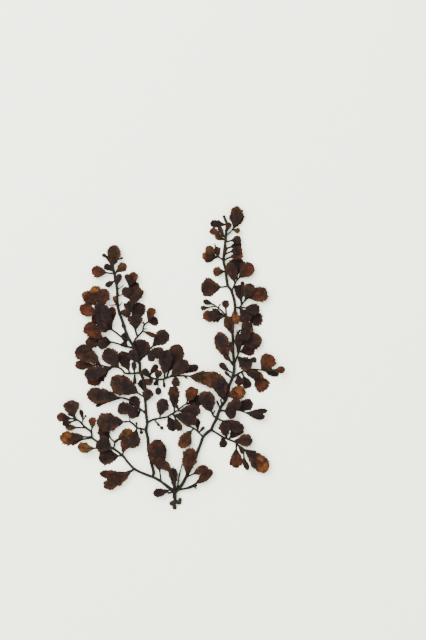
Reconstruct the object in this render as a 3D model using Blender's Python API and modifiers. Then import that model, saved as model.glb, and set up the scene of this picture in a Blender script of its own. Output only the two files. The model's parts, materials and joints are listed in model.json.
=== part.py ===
"""A pressed and dried branch of sargassum seaweed, lying flat.

A small lobed holdfast carries a short forked stipe. From it rise a left, a middle and a right stem, and
from those the side shoots. Each shoot is its own object: its stems, stalked toothed leaves and small air
bladders, joined in one solid. Sizes below are in millimetres, in the plant's own frame: X to the right and
Y towards the tips, as seen from above, and Z up from the surface that the plant lies on.
"""

import math
import random

import bmesh
import bpy
from mathutils import Vector

MM = 0.001

# Heights of the layers that a pressed plant settles into, at the middle of each blade or stem
STEM_Z = 2.0
UNDER_Z = 0.3
FIRST_OVER_Z = 3.7
LAYER_STEP = 0.35
LAYERS_OVER = 12

BLADE_THICKNESS = 0.6
BLADE_WAVE = 0.1
WAVES = 7.0
STALK_WIDTH = 1.2
STALK_SHARE = 0.2
ROOT_OVERLAP = 0.25
LEAST_OVERLAP = 0.5
ROOT_LIFT = 0.12
NECK_START = 0.3
NECK_LENGTH = 2.4
NECK_PER_RISE = 1.2
NECK_SHARE = 0.42
NECK_PITCH = 4.0
JOINT_GAP = 0.35
TRIM_STEP = 0.05
WELD = 0.000001
MAIN_STEM = 0.8
MAIN_STEM_RESOLUTION = 1
TWIG_RESOLUTION = 0
BLADDER_FINENESS = 2
LOBE_FINENESS = 2

# Where a blade is widest, as a share of its length past the stalk, how full its curve is, and its teeth
WIDEST = 0.6
FULLNESS = 0.66
TOOTH = 0.055
TOOTH_PITCH = 3.8
FEWEST_TEETH = 2
MOST_TEETH = 5
TIP_CROWDING = 0.8

# How finely the laying-out looks at what lies where, and the room it keeps
LAYING_CELL = 0.5
LAYING_MARGIN = 0.2
LAYING_GAP = 0.28
SAMPLE_STEP = 0.5
OUT_OF_STEM = 1.2
OWN_CLASHES_ALLOWED = 2
SETTLED = 0.5
SEED = 7

# Stems are (first radius, last radius, points). Leaves are (foot, tip, width) with, where they differ, the
# stalk's share of the length and a bow to the left in shares of the length. Bladders are (place, half axes).
SHOOTS = {
    "stipe": {
        "stems": [
            (1.35, 1.1, [(2.7, -88.0), (2.6, -86.0), (2.4, -84.6), (0.2, -82.4), (-2.6, -80.2)]),
            (1.1, 1.0, [(2.6, -85.2), (4.2, -83.4), (5.7, -81.6)]),
            (0.62, 0.46, [(4.0, -83.4), (5.2, -76.5), (5.8, -72.6), (6.6, -70.0), (7.3, -66.7)]),
            (0.75, 0.64, [(4.4, -83.2), (8.0, -82.4), (12.0, -81.7), (14.8, -80.9), (16.3, -82.2)]),
        ],
        "leaves": [
            ((0.6, -82.9), (-11.0, -85.4), 5.6, {"stalk": 0.16}),
            ((1.8, -84.2), (-1.9, -84.8), 1.5, {}),
            ((2.4, -84.4), (1.7, -68.6), 5.8, {"stalk": 0.26}),
            ((3.0, -84.6), (-9.4, -64.0), 6.6, {"stalk": 0.5, "bow": -0.19}),
            ((8.0, -82.4), (26.2, -69.9), 6.1, {"stalk": 0.4, "bow": -0.07}),
            ((14.8, -80.9), (17.0, -80.0), 1.6, {}),
        ],
    },
    "left_branch": {
        "stems": [
            (1.0, 0.64, [
                (-3.5, -79.5), (-8.0, -76.4), (-11.4, -74.8), (-16.4, -72.9), (-22.7, -69.8),
                (-27.0, -65.4), (-30.2, -61.4), (-36.5, -56.6), (-41.4, -54.8), (-46.0, -52.6),
                (-49.4, -50.0), (-50.2, -46.2), (-54.2, -43.2), (-57.0, -40.0), (-59.6, -38.2),
                (-61.8, -36.2),
            ]),
            (0.6, 0.46, [(-36.0, -57.0), (-35.3, -53.0), (-37.6, -50.6), (-39.0, -47.6)]),
            (0.47, 0.4, [(-56.0, -41.2), (-55.2, -38.8), (-53.9, -36.8)]),
        ],
        "leaves": [
            ((-5.8, -77.9), (-9.2, -50.9), 12.3, {"stalk": 0.28}),
            ((-22.8, -69.9), (-44.8, -72.6), 5.9, {"stalk": 0.28, "bow": 0.09}),
            ((-22.8, -69.9), (-42.2, -80.8), 8.4, {"stalk": 0.14, "bow": 0.03}),
            ((-30.4, -61.2), (-45.6, -61.7), 10.8, {"stalk": 0.18, "bow": 0.04}),
            ((-35.2, -57.6), (-46.0, -52.2), 11.0, {}),
            ((-39.4, -55.6), (-44.2, -42.8), 7.6, {"bow": -0.03}),
            ((-40.8, -55.1), (-58.2, -55.4), 7.4, {"stalk": 0.44, "bow": 0.07}),
            ((-49.5, -49.9), (-69.9, -48.8), 9.1, {"stalk": 0.32, "bow": 0.09}),
            ((-49.6, -49.4), (-62.4, -49.2), 4.8, {"stalk": 0.4}),
            ((-53.6, -43.6), (-66.5, -43.3), 4.2, {"stalk": 0.45}),
            ((-50.2, -46.3), (-49.8, -36.8), 5.3, {"stalk": 0.3, "bow": -0.08}),
            ((-55.3, -39.0), (-57.0, -32.2), 2.9, {}),
            ((-60.0, -37.8), (-63.3, -26.2), 10.2, {"stalk": 0.16, "bow": 0.02}),
            ((-59.5, -38.3), (-72.0, -36.2), 6.0, {"stalk": 0.3, "bow": 0.04}),
            ((-58.9, -38.7), (-68.2, -41.5), 3.8, {"stalk": 0.35}),
            ((-61.4, -36.6), (-64.6, -34.3), 1.7, {}),
            ((-30.2, -61.4), (-27.2, -49.7), 6.9, {"bow": 0.03}),
            ((-35.4, -53.4), (-24.4, -45.2), 6.0, {"bow": 0.03}),
            ((-35.4, -53.6), (-33.4, -50.6), 1.8, {}),
        ],
        "bladders": [((-39.2, -47.0), (0.9, 1.1, 0.9)), ((-53.7, -36.3), (0.7, 0.9, 0.7))],
    },
    "middle_stem": {
        "parent": "left_branch",
        "stems": [
            (1.05, 0.9, [
                (-11.4, -74.8), (-10.7, -71.6), (-12.1, -66.2), (-13.8, -58.0), (-14.4, -50.4),
                (-15.4, -45.2), (-14.8, -40.8), (-15.4, -35.0), (-15.8, -28.6), (-16.3, -23.0),
                (-16.2, -17.0), (-17.4, -12.6), (-19.1, -8.6), (-19.3, -3.6), (-20.6, 1.2),
                (-23.4, 7.4), (-26.4, 12.8), (-28.6, 18.2), (-30.8, 24.8), (-32.7, 29.7),
                (-33.6, 36.0), (-33.7, 42.8), (-34.6, 48.6), (-35.9, 55.4), (-38.2, 61.2),
                (-41.2, 64.8),
            ]),
            (0.45, 0.36, [(-33.8, 43.6), (-31.5, 45.0), (-29.6, 46.4)]),
            (0.45, 0.36, [(-33.6, 39.4), (-31.4, 40.2), (-29.6, 41.4), (-30.2, 43.2)]),
            (0.45, 0.36, [(-33.2, 32.6), (-31.6, 34.2), (-30.4, 35.8)]),
            (0.45, 0.36, [(-33.4, 34.4), (-36.4, 33.8), (-38.8, 33.9)]),
        ],
        "leaves": [
            ((-15.9, -27.6), (-13.4, -19.2), 6.6, {"stalk": 0.1}),
            ((-16.2, -21.2), (-18.8, -13.3), 5.6, {"stalk": 0.12}),
            ((-16.2, -24.8), (-38.3, -14.9), 13.1, {"stalk": 0.22, "bow": -0.07}),
            ((-19.4, -3.2), (-17.2, 12.1), 11.2, {"stalk": 0.1, "bow": 0.04}),
            ((-19.3, -4.0), (-25.4, 5.4), 7.0, {"stalk": 0.22}),
            ((-28.2, 16.6), (-30.4, 22.0), 2.6, {}),
            ((-33.3, 33.4), (-34.9, 39.8), 2.8, {"bow": 0.1}),
            ((-32.6, 29.6), (-25.0, 28.2), 5.9, {"stalk": 0.12}),
            ((-34.7, 49.4), (-41.0, 45.6), 4.0, {"stalk": 0.2}),
            ((-34.2, 46.0), (-32.0, 53.8), 4.1, {"bow": -0.06}),
            ((-35.4, 53.6), (-49.5, 55.6), 8.3, {"stalk": 0.36}),
            ((-35.8, 54.8), (-42.0, 59.4), 4.2, {}),
            ((-36.3, 56.6), (-35.9, 71.7), 9.3, {"stalk": 0.16, "bow": -0.03}),
            ((-35.4, 53.4), (-28.0, 59.8), 5.9, {"bow": 0.03}),
            ((-38.0, 60.8), (-29.6, 63.6), 1.6, {"stalk": 0.7}),
        ],
        "bladders": [((-42.0, 65.3), (1.4, 1.2, 1.0))],
    },
    "middle_shoot_1": {
        "parent": "middle_stem",
        "stems": [
            (0.72, 0.61, [(-15.4, -44.9), (-18.6, -44.3), (-21.3, -43.5), (-23.7, -41.2), (-26.4, -39.5)]),
            (0.45, 0.4, [(-21.4, -43.4), (-21.4, -41.4)]),
            (0.43, 0.36, [(-25.6, -40.0), (-26.0, -36.8)]),
        ],
        "leaves": [
            ((-26.0, -39.7), (-46.6, -40.2), 12.4, {"stalk": 0.18}),
            ((-21.2, -43.5), (-24.2, -56.3), 8.5, {"stalk": 0.12}),
            ((-18.8, -44.2), (-17.9, -47.6), 2.4, {}),
        ],
        "bladders": [((-21.4, -41.0), (0.8, 1.1, 0.8))],
    },
    "middle_shoot_2": {
        "parent": "middle_stem",
        "stems": [
            (0.75, 0.55, [
                (-14.9, -40.7), (-11.4, -38.7), (-6.8, -37.7), (-2.6, -36.9), (0.6, -35.0),
                (4.0, -33.0), (7.0, -30.5), (10.2, -28.3),
            ]),
            (0.54, 0.43, [(-10.4, -38.5), (-8.2, -41.0), (-6.3, -43.0)]),
        ],
        "leaves": [
            ((-7.0, -37.7), (-3.7, -25.1), 8.2, {"stalk": 0.16}),
            ((2.4, -34.0), (2.2, -17.0), 7.4, {"stalk": 0.16}),
            ((9.9, -28.4), (15.2, -17.6), 8.0, {"stalk": 0.14}),
            ((9.4, -28.8), (20.0, -26.0), 7.2, {}),
            ((4.0, -33.0), (18.9, -32.8), 9.0, {"stalk": 0.14}),
            ((-1.8, -36.5), (3.2, -45.6), 8.0, {"stalk": 0.1}),
            ((1.6, -34.4), (6.6, -45.6), 4.6, {"stalk": 0.3}),
            ((0.6, -35.0), (17.0, -39.6), 8.8, {"stalk": 0.14}),
            ((5.0, -32.2), (3.4, -28.8), 2.5, {}),
            ((-8.8, -40.2), (-7.2, -42.6), 2.0, {}),
        ],
        "bladders": [((-5.5, -43.8), (1.25, 1.25, 1.1))],
    },
    "middle_shoot_3": {
        "parent": "middle_stem",
        "stems": [
            (0.75, 0.61, [
                (-15.5, -34.9), (-18.0, -32.7), (-20.3, -31.2), (-23.6, -28.4), (-27.4, -25.6),
                (-32.4, -24.5),
            ]),
        ],
        "leaves": [
            ((-31.8, -24.6), (-52.7, -22.6), 10.4, {"stalk": 0.08, "bow": -0.01}),
            ((-31.2, -24.7), (-47.4, -30.2), 2.3, {"stalk": 0.74}),
            ((-20.2, -31.3), (-33.6, -31.5), 8.4, {"stalk": 0.18}),
            ((-19.4, -31.8), (-24.8, -24.2), 7.6, {"stalk": 0.1}),
            ((-19.8, -31.6), (-26.0, -36.4), 5.8, {"stalk": 0.14}),
            ((-19.0, -32.0), (-21.3, -37.2), 1.9, {}),
        ],
    },
    "middle_shoot_4": {
        "parent": "middle_stem",
        "stems": [
            (0.75, 0.51, [
                (-19.1, -8.9), (-23.0, -9.3), (-28.4, -9.2), (-31.0, -6.6), (-34.4, -5.3),
                (-39.4, -5.2), (-44.0, -4.2), (-47.2, -3.9),
            ]),
        ],
        "leaves": [
            ((-44.2, -4.2), (-60.4, 3.8), 9.8, {"stalk": 0.06, "bow": -0.11}),
            ((-46.8, -3.9), (-60.4, -3.5), 6.0, {"stalk": 0.2, "bow": 0.04}),
            ((-37.6, -5.2), (-53.9, -10.0), 9.6, {"stalk": 0.1, "bow": 0.05}),
            ((-36.6, -5.2), (-52.6, -15.4), 8.4, {"stalk": 0.2, "bow": 0.04}),
            ((-32.0, -6.3), (-41.4, 5.8), 10.6, {"stalk": 0.1}),
            ((-25.8, -9.3), (-31.0, 4.8), 8.0, {"stalk": 0.14}),
            ((-22.8, -9.2), (-22.9, -1.7), 3.6, {}),
            ((-22.6, -9.3), (-22.3, -16.3), 2.5, {}),
        ],
    },
    "middle_shoot_5": {
        "parent": "middle_stem",
        "stems": [
            (0.75, 0.55, [
                (-18.9, -9.4), (-16.0, -10.2), (-12.0, -12.0), (-8.6, -13.0), (-4.6, -13.0),
                (-1.0, -11.8), (4.0, -10.9), (9.0, -10.9), (12.2, -11.0),
            ]),
            (0.51, 0.4, [(-7.8, -13.0), (-7.8, -18.4)]),
        ],
        "leaves": [
            ((11.6, -10.9), (28.4, -12.6), 8.8, {"stalk": 0.05, "bow": -0.01}),
            ((3.4, -11.0), (17.6, -5.0), 5.3, {"stalk": 0.35, "bow": 0.02}),
            ((-0.8, -11.8), (11.3, -1.4), 9.6, {"stalk": 0.14}),
            ((-2.4, -12.3), (6.2, 8.6), 11.0, {"stalk": 0.2, "bow": 0.03}),
            ((-3.8, -12.8), (-2.8, 5.6), 8.8, {"stalk": 0.16}),
            ((-13.6, -11.2), (-8.4, -3.6), 3.8, {}),
            ((-8.8, -13.0), (-6.5, -7.3), 4.9, {"stalk": 0.1}),
            ((-12.6, -11.8), (-17.6, -6.6), 4.7, {"stalk": 0.12}),
            ((-10.6, -12.4), (-15.2, -16.0), 5.1, {"stalk": 0.1}),
            ((-8.6, -13.0), (-9.8, -17.2), 2.8, {}),
            ((-4.2, -12.9), (-3.8, -18.4), 1.9, {}),
            ((3.2, -11.0), (3.4, -17.6), 5.9, {"stalk": 0.08}),
            ((8.4, -10.9), (10.8, -12.6), 1.2, {}),
        ],
        "bladders": [((-7.7, -20.6), (2.1, 2.4, 1.3))],
    },
    "middle_shoot_6": {
        "parent": "middle_stem",
        "stems": [(0.75, 0.61, [(-20.3, 0.6), (-16.0, 3.2), (-12.0, 7.2)])],
        "leaves": [
            ((-16.0, 3.2), (-3.4, 3.9), 8.0, {"stalk": 0.1}),
            ((-12.2, 7.0), (-1.6, 16.6), 9.4, {"stalk": 0.12, "bow": 0.02}),
            ((-14.2, 5.0), (-10.4, -1.4), 5.5, {"stalk": 0.1}),
        ],
    },
    "middle_shoot_7": {
        "parent": "middle_stem",
        "stems": [
            (0.75, 0.55, [
                (-23.2, 6.8), (-28.6, 7.8), (-32.3, 9.1), (-36.0, 10.2), (-42.0, 11.4),
            ]),
        ],
        "leaves": [
            ((-41.6, 11.3), (-53.9, 21.8), 9.3, {"stalk": 0.1}),
            ((-41.4, 11.3), (-53.9, 9.8), 7.4, {"stalk": 0.1}),
            ((-40.0, 11.0), (-59.8, 5.0), 5.1, {"stalk": 0.3}),
            ((-37.0, 10.4), (-45.4, 8.4), 6.6, {"stalk": 0.1}),
            ((-37.4, 10.5), (-42.6, 13.4), 3.2, {}),
            ((-27.6, 7.6), (-29.9, 16.3), 4.0, {}),
            ((-26.4, 7.4), (-31.0, 9.8), 3.8, {"stalk": 0.1}),
        ],
    },
    "middle_shoot_8": {
        "parent": "middle_stem",
        "stems": [
            (0.75, 0.49, [
                (-26.0, 11.6), (-30.6, 13.6), (-34.3, 16.4), (-37.7, 18.8), (-40.6, 21.9),
                (-42.8, 26.0), (-44.4, 32.0),
            ]),
        ],
        "leaves": [
            ((-43.0, 26.8), (-57.5, 32.2), 8.3, {"stalk": 0.18, "bow": -0.03}),
            ((-44.2, 31.2), (-55.5, 42.0), 7.4, {"stalk": 0.25}),
            ((-44.4, 31.6), (-48.2, 46.0), 7.8, {"stalk": 0.25}),
            ((-43.8, 29.8), (-41.2, 44.4), 7.8, {"stalk": 0.14}),
            ((-42.4, 25.2), (-45.0, 35.6), 8.0, {"stalk": 0.1}),
            ((-41.0, 22.6), (-49.8, 26.6), 7.0, {"stalk": 0.12}),
            ((-40.4, 21.7), (-46.4, 27.4), 6.6, {"stalk": 0.1}),
            ((-36.9, 18.2), (-46.4, 20.6), 7.0, {"stalk": 0.12}),
            ((-36.8, 18.0), (-42.2, 33.4), 7.4, {"stalk": 0.1}),
            ((-37.6, 18.7), (-36.9, 32.8), 5.3, {"stalk": 0.35, "bow": -0.03}),
        ],
    },
    "middle_shoot_9": {
        "parent": "middle_stem",
        "stems": [
            (0.75, 0.51, [
                (-23.8, 8.4), (-22.6, 11.6), (-20.4, 14.4), (-17.7, 17.4), (-16.8, 20.8),
                (-13.8, 23.6),
            ]),
            (0.43, 0.36, [(-17.4, 18.6), (-14.6, 18.9)]),
        ],
        "leaves": [
            ((-14.0, 23.4), (-11.4, 32.1), 6.3, {"stalk": 0.1}),
            ((-14.4, 23.1), (-7.7, 24.0), 5.9, {"stalk": 0.1}),
            ((-17.7, 17.5), (-9.3, 14.2), 3.5, {}),
            ((-16.2, 21.3), (-17.6, 23.2), 1.2, {}),
        ],
    },
    "middle_shoot_10": {
        "parent": "middle_shoot_9",
        "stems": [
            (0.69, 0.49, [
                (-20.9, 13.8), (-22.2, 18.0), (-23.2, 23.0), (-24.2, 29.6), (-25.2, 36.4),
                (-26.2, 46.0),
            ]),
        ],
        "leaves": [
            ((-22.0, 17.0), (-22.0, 28.4), 9.2, {"stalk": 0.14}),
            ((-22.9, 21.6), (-18.6, 35.2), 9.0, {"stalk": 0.16}),
            ((-24.0, 28.6), (-26.8, 36.4), 7.6, {"stalk": 0.12}),
            ((-24.5, 31.6), (-20.4, 45.8), 9.4, {"stalk": 0.16}),
            ((-25.2, 36.6), (-29.0, 45.0), 6.6, {"stalk": 0.16}),
            ((-25.5, 39.6), (-22.4, 49.2), 6.6, {"stalk": 0.16}),
            ((-26.0, 44.8), (-22.5, 54.6), 6.3, {"stalk": 0.14}),
            ((-26.2, 45.8), (-27.2, 53.8), 4.2, {}),
        ],
    },
    "right_stem": {
        "parent": "stipe",
        "stems": [
            (1.1, 0.9, [
                (6.3, -80.9), (8.6, -77.2), (11.4, -71.8), (14.8, -64.6), (17.2, -58.6), (18.9, -54.4),
                (20.6, -49.6), (23.2, -46.8), (25.6, -44.8), (27.2, -41.4), (29.2, -37.6),
                (30.6, -33.6), (32.0, -30.4), (34.8, -26.4), (36.1, -22.0), (37.2, -17.0),
                (38.8, -13.0), (40.1, -8.0), (40.2, -3.4), (39.7, 3.0), (39.4, 12.0), (39.1, 20.0),
                (39.3, 26.4), (40.7, 31.0), (40.3, 36.8), (38.4, 43.0), (36.3, 46.0), (35.4, 50.4),
                (34.8, 55.8), (33.5, 61.8), (33.9, 66.8), (34.7, 74.2), (35.2, 79.6), (35.6, 84.6),
                (34.9, 87.2), (34.1, 88.8),
            ]),
            (0.51, 0.43, [(35.1, 77.6), (37.2, 79.4), (39.6, 81.8)]),
        ],
        "leaves": [
            ((8.8, -76.9), (12.6, -56.0), 9.8, {"stalk": 0.22, "bow": -0.04}),
            ((9.8, -75.0), (23.7, -68.0), 5.6, {"stalk": 0.35}),
            ((29.2, -37.4), (46.4, -44.4), 7.2, {"stalk": 0.2, "bow": -0.03}),
            ((34.0, -27.4), (29.6, -11.4), 9.6, {"stalk": 0.1}),
            ((36.9, -16.2), (22.2, -11.8), 11.2, {"stalk": 0.08}),
            ((35.6, -23.8), (47.3, -19.8), 9.2, {"stalk": 0.06}),
            ((31.4, -31.6), (29.2, -26.2), 1.5, {}),
            ((32.6, -29.6), (31.6, -24.8), 1.4, {}),
            ((40.1, -5.0), (31.2, 16.8), 9.6, {"stalk": 0.28, "bow": 0.08}),
            ((39.8, 1.6), (37.6, 11.0), 3.3, {}),
            ((39.8, -9.0), (31.6, -2.4), 4.2, {"stalk": 0.3, "bow": 0.1}),
            ((40.2, -3.6), (33.5, 2.8), 3.3, {"stalk": 0.3}),
            ((38.9, -12.6), (34.0, -7.8), 1.9, {}),
            ((39.3, 14.8), (36.0, 27.0), 6.6, {"stalk": 0.1, "bow": 0.03}),
            ((39.2, 17.6), (33.8, 22.4), 3.3, {}),
            ((36.6, 45.8), (19.2, 45.6), 11.6, {"stalk": 0.28, "bow": 0.03}),
            ((34.9, 55.0), (26.7, 55.2), 5.7, {"stalk": 0.16}),
            ((33.6, 62.6), (34.9, 71.0), 2.7, {}),
            ((34.7, 73.6), (44.8, 75.2), 5.6, {"stalk": 0.38, "bow": 0.03}),
            ((34.2, 69.2), (44.9, 72.2), 5.4, {"stalk": 0.38, "bow": 0.03}),
            ((33.9, 65.8), (45.4, 69.0), 5.6, {"stalk": 0.38, "bow": 0.03}),
            ((33.6, 62.0), (46.0, 65.8), 6.0, {"stalk": 0.38, "bow": 0.05}),
            ((39.4, 81.6), (41.3, 96.2), 8.1, {"stalk": 0.16, "bow": -0.08}),
            ((39.3, 81.5), (42.3, 93.4), 9.3, {"stalk": 0.14, "bow": -0.06}),
            ((39.4, 81.6), (44.0, 80.4), 3.7, {"stalk": 0.14}),
            ((35.6, 84.8), (25.1, 85.6), 5.2, {"stalk": 0.14}),
            ((34.9, 76.6), (25.1, 82.0), 5.1, {"stalk": 0.36, "bow": 0.05}),
            ((34.8, 75.0), (28.1, 77.4), 3.4, {}),
            ((34.9, 76.0), (31.0, 83.9), 3.5, {"bow": 0.08}),
            ((35.2, 79.4), (37.3, 86.0), 3.8, {}),
            ((40.7, 31.0), (41.7, 21.9), 6.0, {"stalk": 0.08}),
        ],
        "bladders": [((33.9, 89.7), (0.95, 1.1, 0.9))],
    },
    "right_shoot_1": {
        "parent": "right_stem",
        "stems": [
            (0.69, 0.51, [(20.5, -49.8), (18.4, -47.2), (15.6, -44.6), (13.0, -43.2), (10.2, -42.4)]),
        ],
        "leaves": [
            ((14.8, -44.2), (7.5, -56.6), 8.4, {"stalk": 0.14, "bow": -0.08}),
            ((17.4, -46.3), (16.9, -37.9), 3.8, {}),
            ((18.0, -46.8), (21.6, -42.8), 2.2, {}),
        ],
    },
    "right_shoot_2": {
        "parent": "right_stem",
        "stems": [
            (0.75, 0.55, [
                (25.5, -44.9), (29.4, -47.2), (32.4, -49.1), (36.2, -50.9), (40.3, -52.5),
                (43.4, -55.1), (47.2, -57.7),
            ]),
        ],
        "leaves": [
            ((46.6, -57.3), (60.7, -71.3), 10.6, {"stalk": 0.04, "bow": 0.05}),
            ((36.6, -51.1), (44.4, -41.2), 8.8, {"stalk": 0.14, "bow": -0.05}),
            ((35.6, -50.6), (33.5, -39.5), 7.4, {"stalk": 0.12}),
            ((32.4, -49.1), (34.2, -56.5), 5.4, {"stalk": 0.16}),
            ((39.8, -52.3), (51.9, -51.0), 8.0, {"stalk": 0.06}),
            ((41.6, -53.6), (41.4, -69.5), 8.3, {"stalk": 0.24}),
            ((46.4, -57.2), (49.2, -70.3), 3.6, {"stalk": 0.36, "bow": -0.08}),
            ((42.8, -54.6), (45.8, -59.8), 2.6, {}),
        ],
    },
    "right_shoot_3": {
        "parent": "right_stem",
        "stems": [(0.75, 0.51, [(30.8, -33.2), (35.0, -32.8), (40.0, -32.4), (44.0, -32.8), (49.0, -34.8)])],
        "leaves": [
            ((34.4, -32.9), (44.6, -27.4), 7.6, {"stalk": 0.08, "bow": 0.05}),
            ((41.0, -32.5), (52.5, -28.6), 7.8, {"stalk": 0.06, "bow": 0.04}),
            ((33.8, -32.9), (41.2, -35.6), 7.0, {"stalk": 0.08}),
            ((47.4, -34.1), (61.6, -32.8), 3.6, {"stalk": 0.16}),
            ((47.6, -34.2), (59.6, -37.2), 4.9, {"stalk": 0.1}),
        ],
    },
    "right_shoot_4": {
        "parent": "right_stem",
        "stems": [(0.72, 0.61, [(29.2, -37.6), (27.0, -36.0), (26.2, -34.0)])],
        "leaves": [
            ((26.3, -34.4), (21.4, -20.2), 10.5, {"stalk": 0.06, "bow": 0.02}),
            ((26.7, -35.4), (28.2, -32.4), 1.2, {}),
        ],
    },
    "right_shoot_5": {
        "parent": "right_stem",
        "stems": [
            (0.75, 0.51, [
                (38.9, -12.6), (41.8, -10.2), (45.8, -7.9), (50.4, -6.9), (55.0, -6.9), (59.6, -7.4),
            ]),
        ],
        "leaves": [
            ((57.4, -7.1), (64.4, 1.8), 10.8, {"stalk": 0.06}),
            ((58.6, -7.3), (68.8, -10.0), 5.4, {"stalk": 0.1}),
            ((59.2, -7.3), (72.3, -7.0), 5.0, {"stalk": 0.5}),
            ((50.8, -6.9), (60.4, -20.1), 9.5, {"stalk": 0.28}),
            ((53.8, -6.9), (58.4, -12.5), 3.4, {}),
            ((45.0, -8.3), (49.6, -18.9), 5.8, {"stalk": 0.28}),
            ((42.4, -9.8), (44.2, -16.6), 5.9, {"stalk": 0.1}),
            ((46.6, -7.7), (55.8, -11.4), 5.7, {"stalk": 0.1}),
        ],
    },
    "right_shoot_6": {
        "parent": "right_stem",
        "stems": [
            (0.75, 0.51, [(40.2, -3.2), (42.2, 1.4), (43.6, 5.4), (45.0, 9.4), (45.8, 13.0)]),
            (0.45, 0.38, [(42.6, 2.6), (41.8, 8.0), (41.8, 14.0), (42.2, 18.2)]),
        ],
        "leaves": [
            ((44.6, 8.4), (57.7, 11.6), 11.0, {"stalk": 0.1, "bow": 0.05}),
            ((43.2, 4.2), (53.1, 6.0), 8.0, {"stalk": 0.14}),
            ((45.4, 11.4), (49.9, 23.2), 8.6, {"stalk": 0.1}),
            ((42.0, 0.9), (50.8, -5.8), 9.2, {"stalk": 0.12}),
            ((42.2, 1.3), (54.5, -0.8), 3.8, {"stalk": 0.6, "bow": -0.03}),
            ((41.8, 14.4), (44.2, 18.4), 1.4, {}),
            ((41.9, 4.6), (43.2, 16.0), 4.8, {"stalk": 0.1}),
            ((44.6, 8.6), (48.0, 17.2), 7.2, {"stalk": 0.1}),
        ],
    },
    "right_shoot_7": {
        "parent": "right_stem",
        "stems": [
            (0.68, 0.49, [(39.3, 26.2), (35.4, 26.5), (33.2, 29.3), (30.0, 32.2), (27.2, 34.3)]),
            (0.45, 0.4, [(28.8, 33.0), (26.2, 32.9), (23.8, 32.2)]),
        ],
        "leaves": [
            ((27.4, 34.1), (20.6, 36.6), 3.5, {}),
            ((35.3, 26.6), (34.7, 36.9), 5.0, {"stalk": 0.5}),
            ((24.2, 32.3), (19.0, 31.8), 3.3, {}),
            ((35.0, 26.9), (25.1, 27.5), 8.9, {"stalk": 0.14}),
            ((35.5, 26.5), (20.3, 26.9), 7.4, {"stalk": 0.3}),
            ((30.2, 32.0), (31.7, 34.8), 1.1, {}),
        ],
    },
    "right_shoot_8": {
        "parent": "right_stem",
        "stems": [
            (0.69, 0.51, [(40.6, 32.4), (43.4, 32.4), (45.1, 34.4), (47.7, 37.3), (50.0, 38.6)]),
        ],
        "leaves": [
            ((49.4, 38.3), (60.8, 43.0), 10.4, {"stalk": 0.06, "bow": -0.05}),
            ((44.8, 34.2), (42.7, 46.8), 6.2, {"stalk": 0.22}),
            ((45.0, 34.4), (45.5, 49.0), 2.9, {"stalk": 0.72}),
            ((46.4, 36.0), (51.1, 47.5), 8.0, {"stalk": 0.2}),
            ((43.6, 32.5), (56.6, 30.9), 8.0, {"stalk": 0.3}),
            ((43.4, 32.4), (58.6, 23.6), 8.4, {"stalk": 0.34, "bow": -0.06}),
            ((43.2, 32.3), (49.8, 23.6), 8.2, {"stalk": 0.14}),
        ],
    },
    "right_shoot_9": {
        "parent": "right_stem",
        "stems": [(0.69, 0.51, [(38.6, 42.6), (40.8, 47.4), (41.8, 49.2), (43.6, 51.3)])],
        "leaves": [
            ((43.3, 51.0), (52.1, 59.3), 9.5, {"stalk": 0.06}),
            ((42.2, 49.7), (41.2, 63.8), 9.6, {"stalk": 0.22}),
            ((40.8, 47.4), (37.4, 60.8), 7.4, {"stalk": 0.12}),
        ],
    },
    "right_shoot_10": {
        "parent": "right_stem",
        "stems": [(0.66, 0.49, [(33.6, 61.4), (32.4, 62.9), (30.4, 64.2), (28.0, 64.7)])],
        "leaves": [
            ((28.5, 64.4), (19.9, 65.0), 5.3, {"stalk": 0.1}),
            ((29.8, 64.3), (21.7, 61.8), 3.9, {"stalk": 0.2}),
            ((28.3, 64.6), (22.8, 70.4), 5.5, {"stalk": 0.1}),
            ((30.0, 64.1), (29.3, 71.0), 4.4, {"stalk": 0.1}),
            ((30.6, 64.1), (27.8, 72.8), 1.3, {"stalk": 0.3}),
        ],
    },
}

# The holdfast's lobes: place and half axes
HOLDFAST_LOBES = [
    ((3.0, -90.6), (2.0, 1.7, 1.5)),
    ((1.0, -91.6), (1.8, 1.7, 1.3)),
    ((2.6, -93.9), (1.5, 1.7, 1.2)),
    ((5.3, -90.9), (1.8, 1.6, 1.3)),
    ((6.1, -89.3), (1.3, 1.4, 1.0)),
]
HOLDFAST_LIFT = 0.9

# The dried plant's own colours, from the near-black stems to the browner blades
STEM_BROWN = (0.020, 0.013, 0.010, 1.0)
BLADE_BROWN = (0.045, 0.020, 0.014, 1.0)
STEM_ROUGHNESS = 0.75
BLADE_ROUGHNESS = 0.65


def clear_scene():
    """Removes what Blender's startup scene holds."""
    for item in list(bpy.data.objects):
        bpy.data.objects.remove(item)


def make_material(name, colour, roughness):
    """A plain non-metal finish."""
    made = bpy.data.materials.new(name)
    made.use_nodes = True
    shader = made.node_tree.nodes["Principled BSDF"]
    shader.inputs["Base Color"].default_value = colour
    shader.inputs["Roughness"].default_value = roughness
    shader.inputs["Metallic"].default_value = 0.0
    return made


def nearest_on_path(place, path):
    """The point of a plan path that is nearest to a place, and its distance."""
    best = None
    for start, end in zip(path, path[1:]):
        start, end, at = Vector(start), Vector(end), Vector(place)
        along = end - start
        share = max(0.0, min(1.0, (at - start).dot(along) / along.length_squared))
        point = start + along * share
        distance = (at - point).length
        if best is None or distance < best[1]:
            best = (point, distance)
    return best


def nearest_on_stems(place, stems):
    """The nearest point of several stems' paths, and its distance."""
    return min((nearest_on_path(place, stem[2]) for stem in stems), key=lambda found: found[1])


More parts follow.
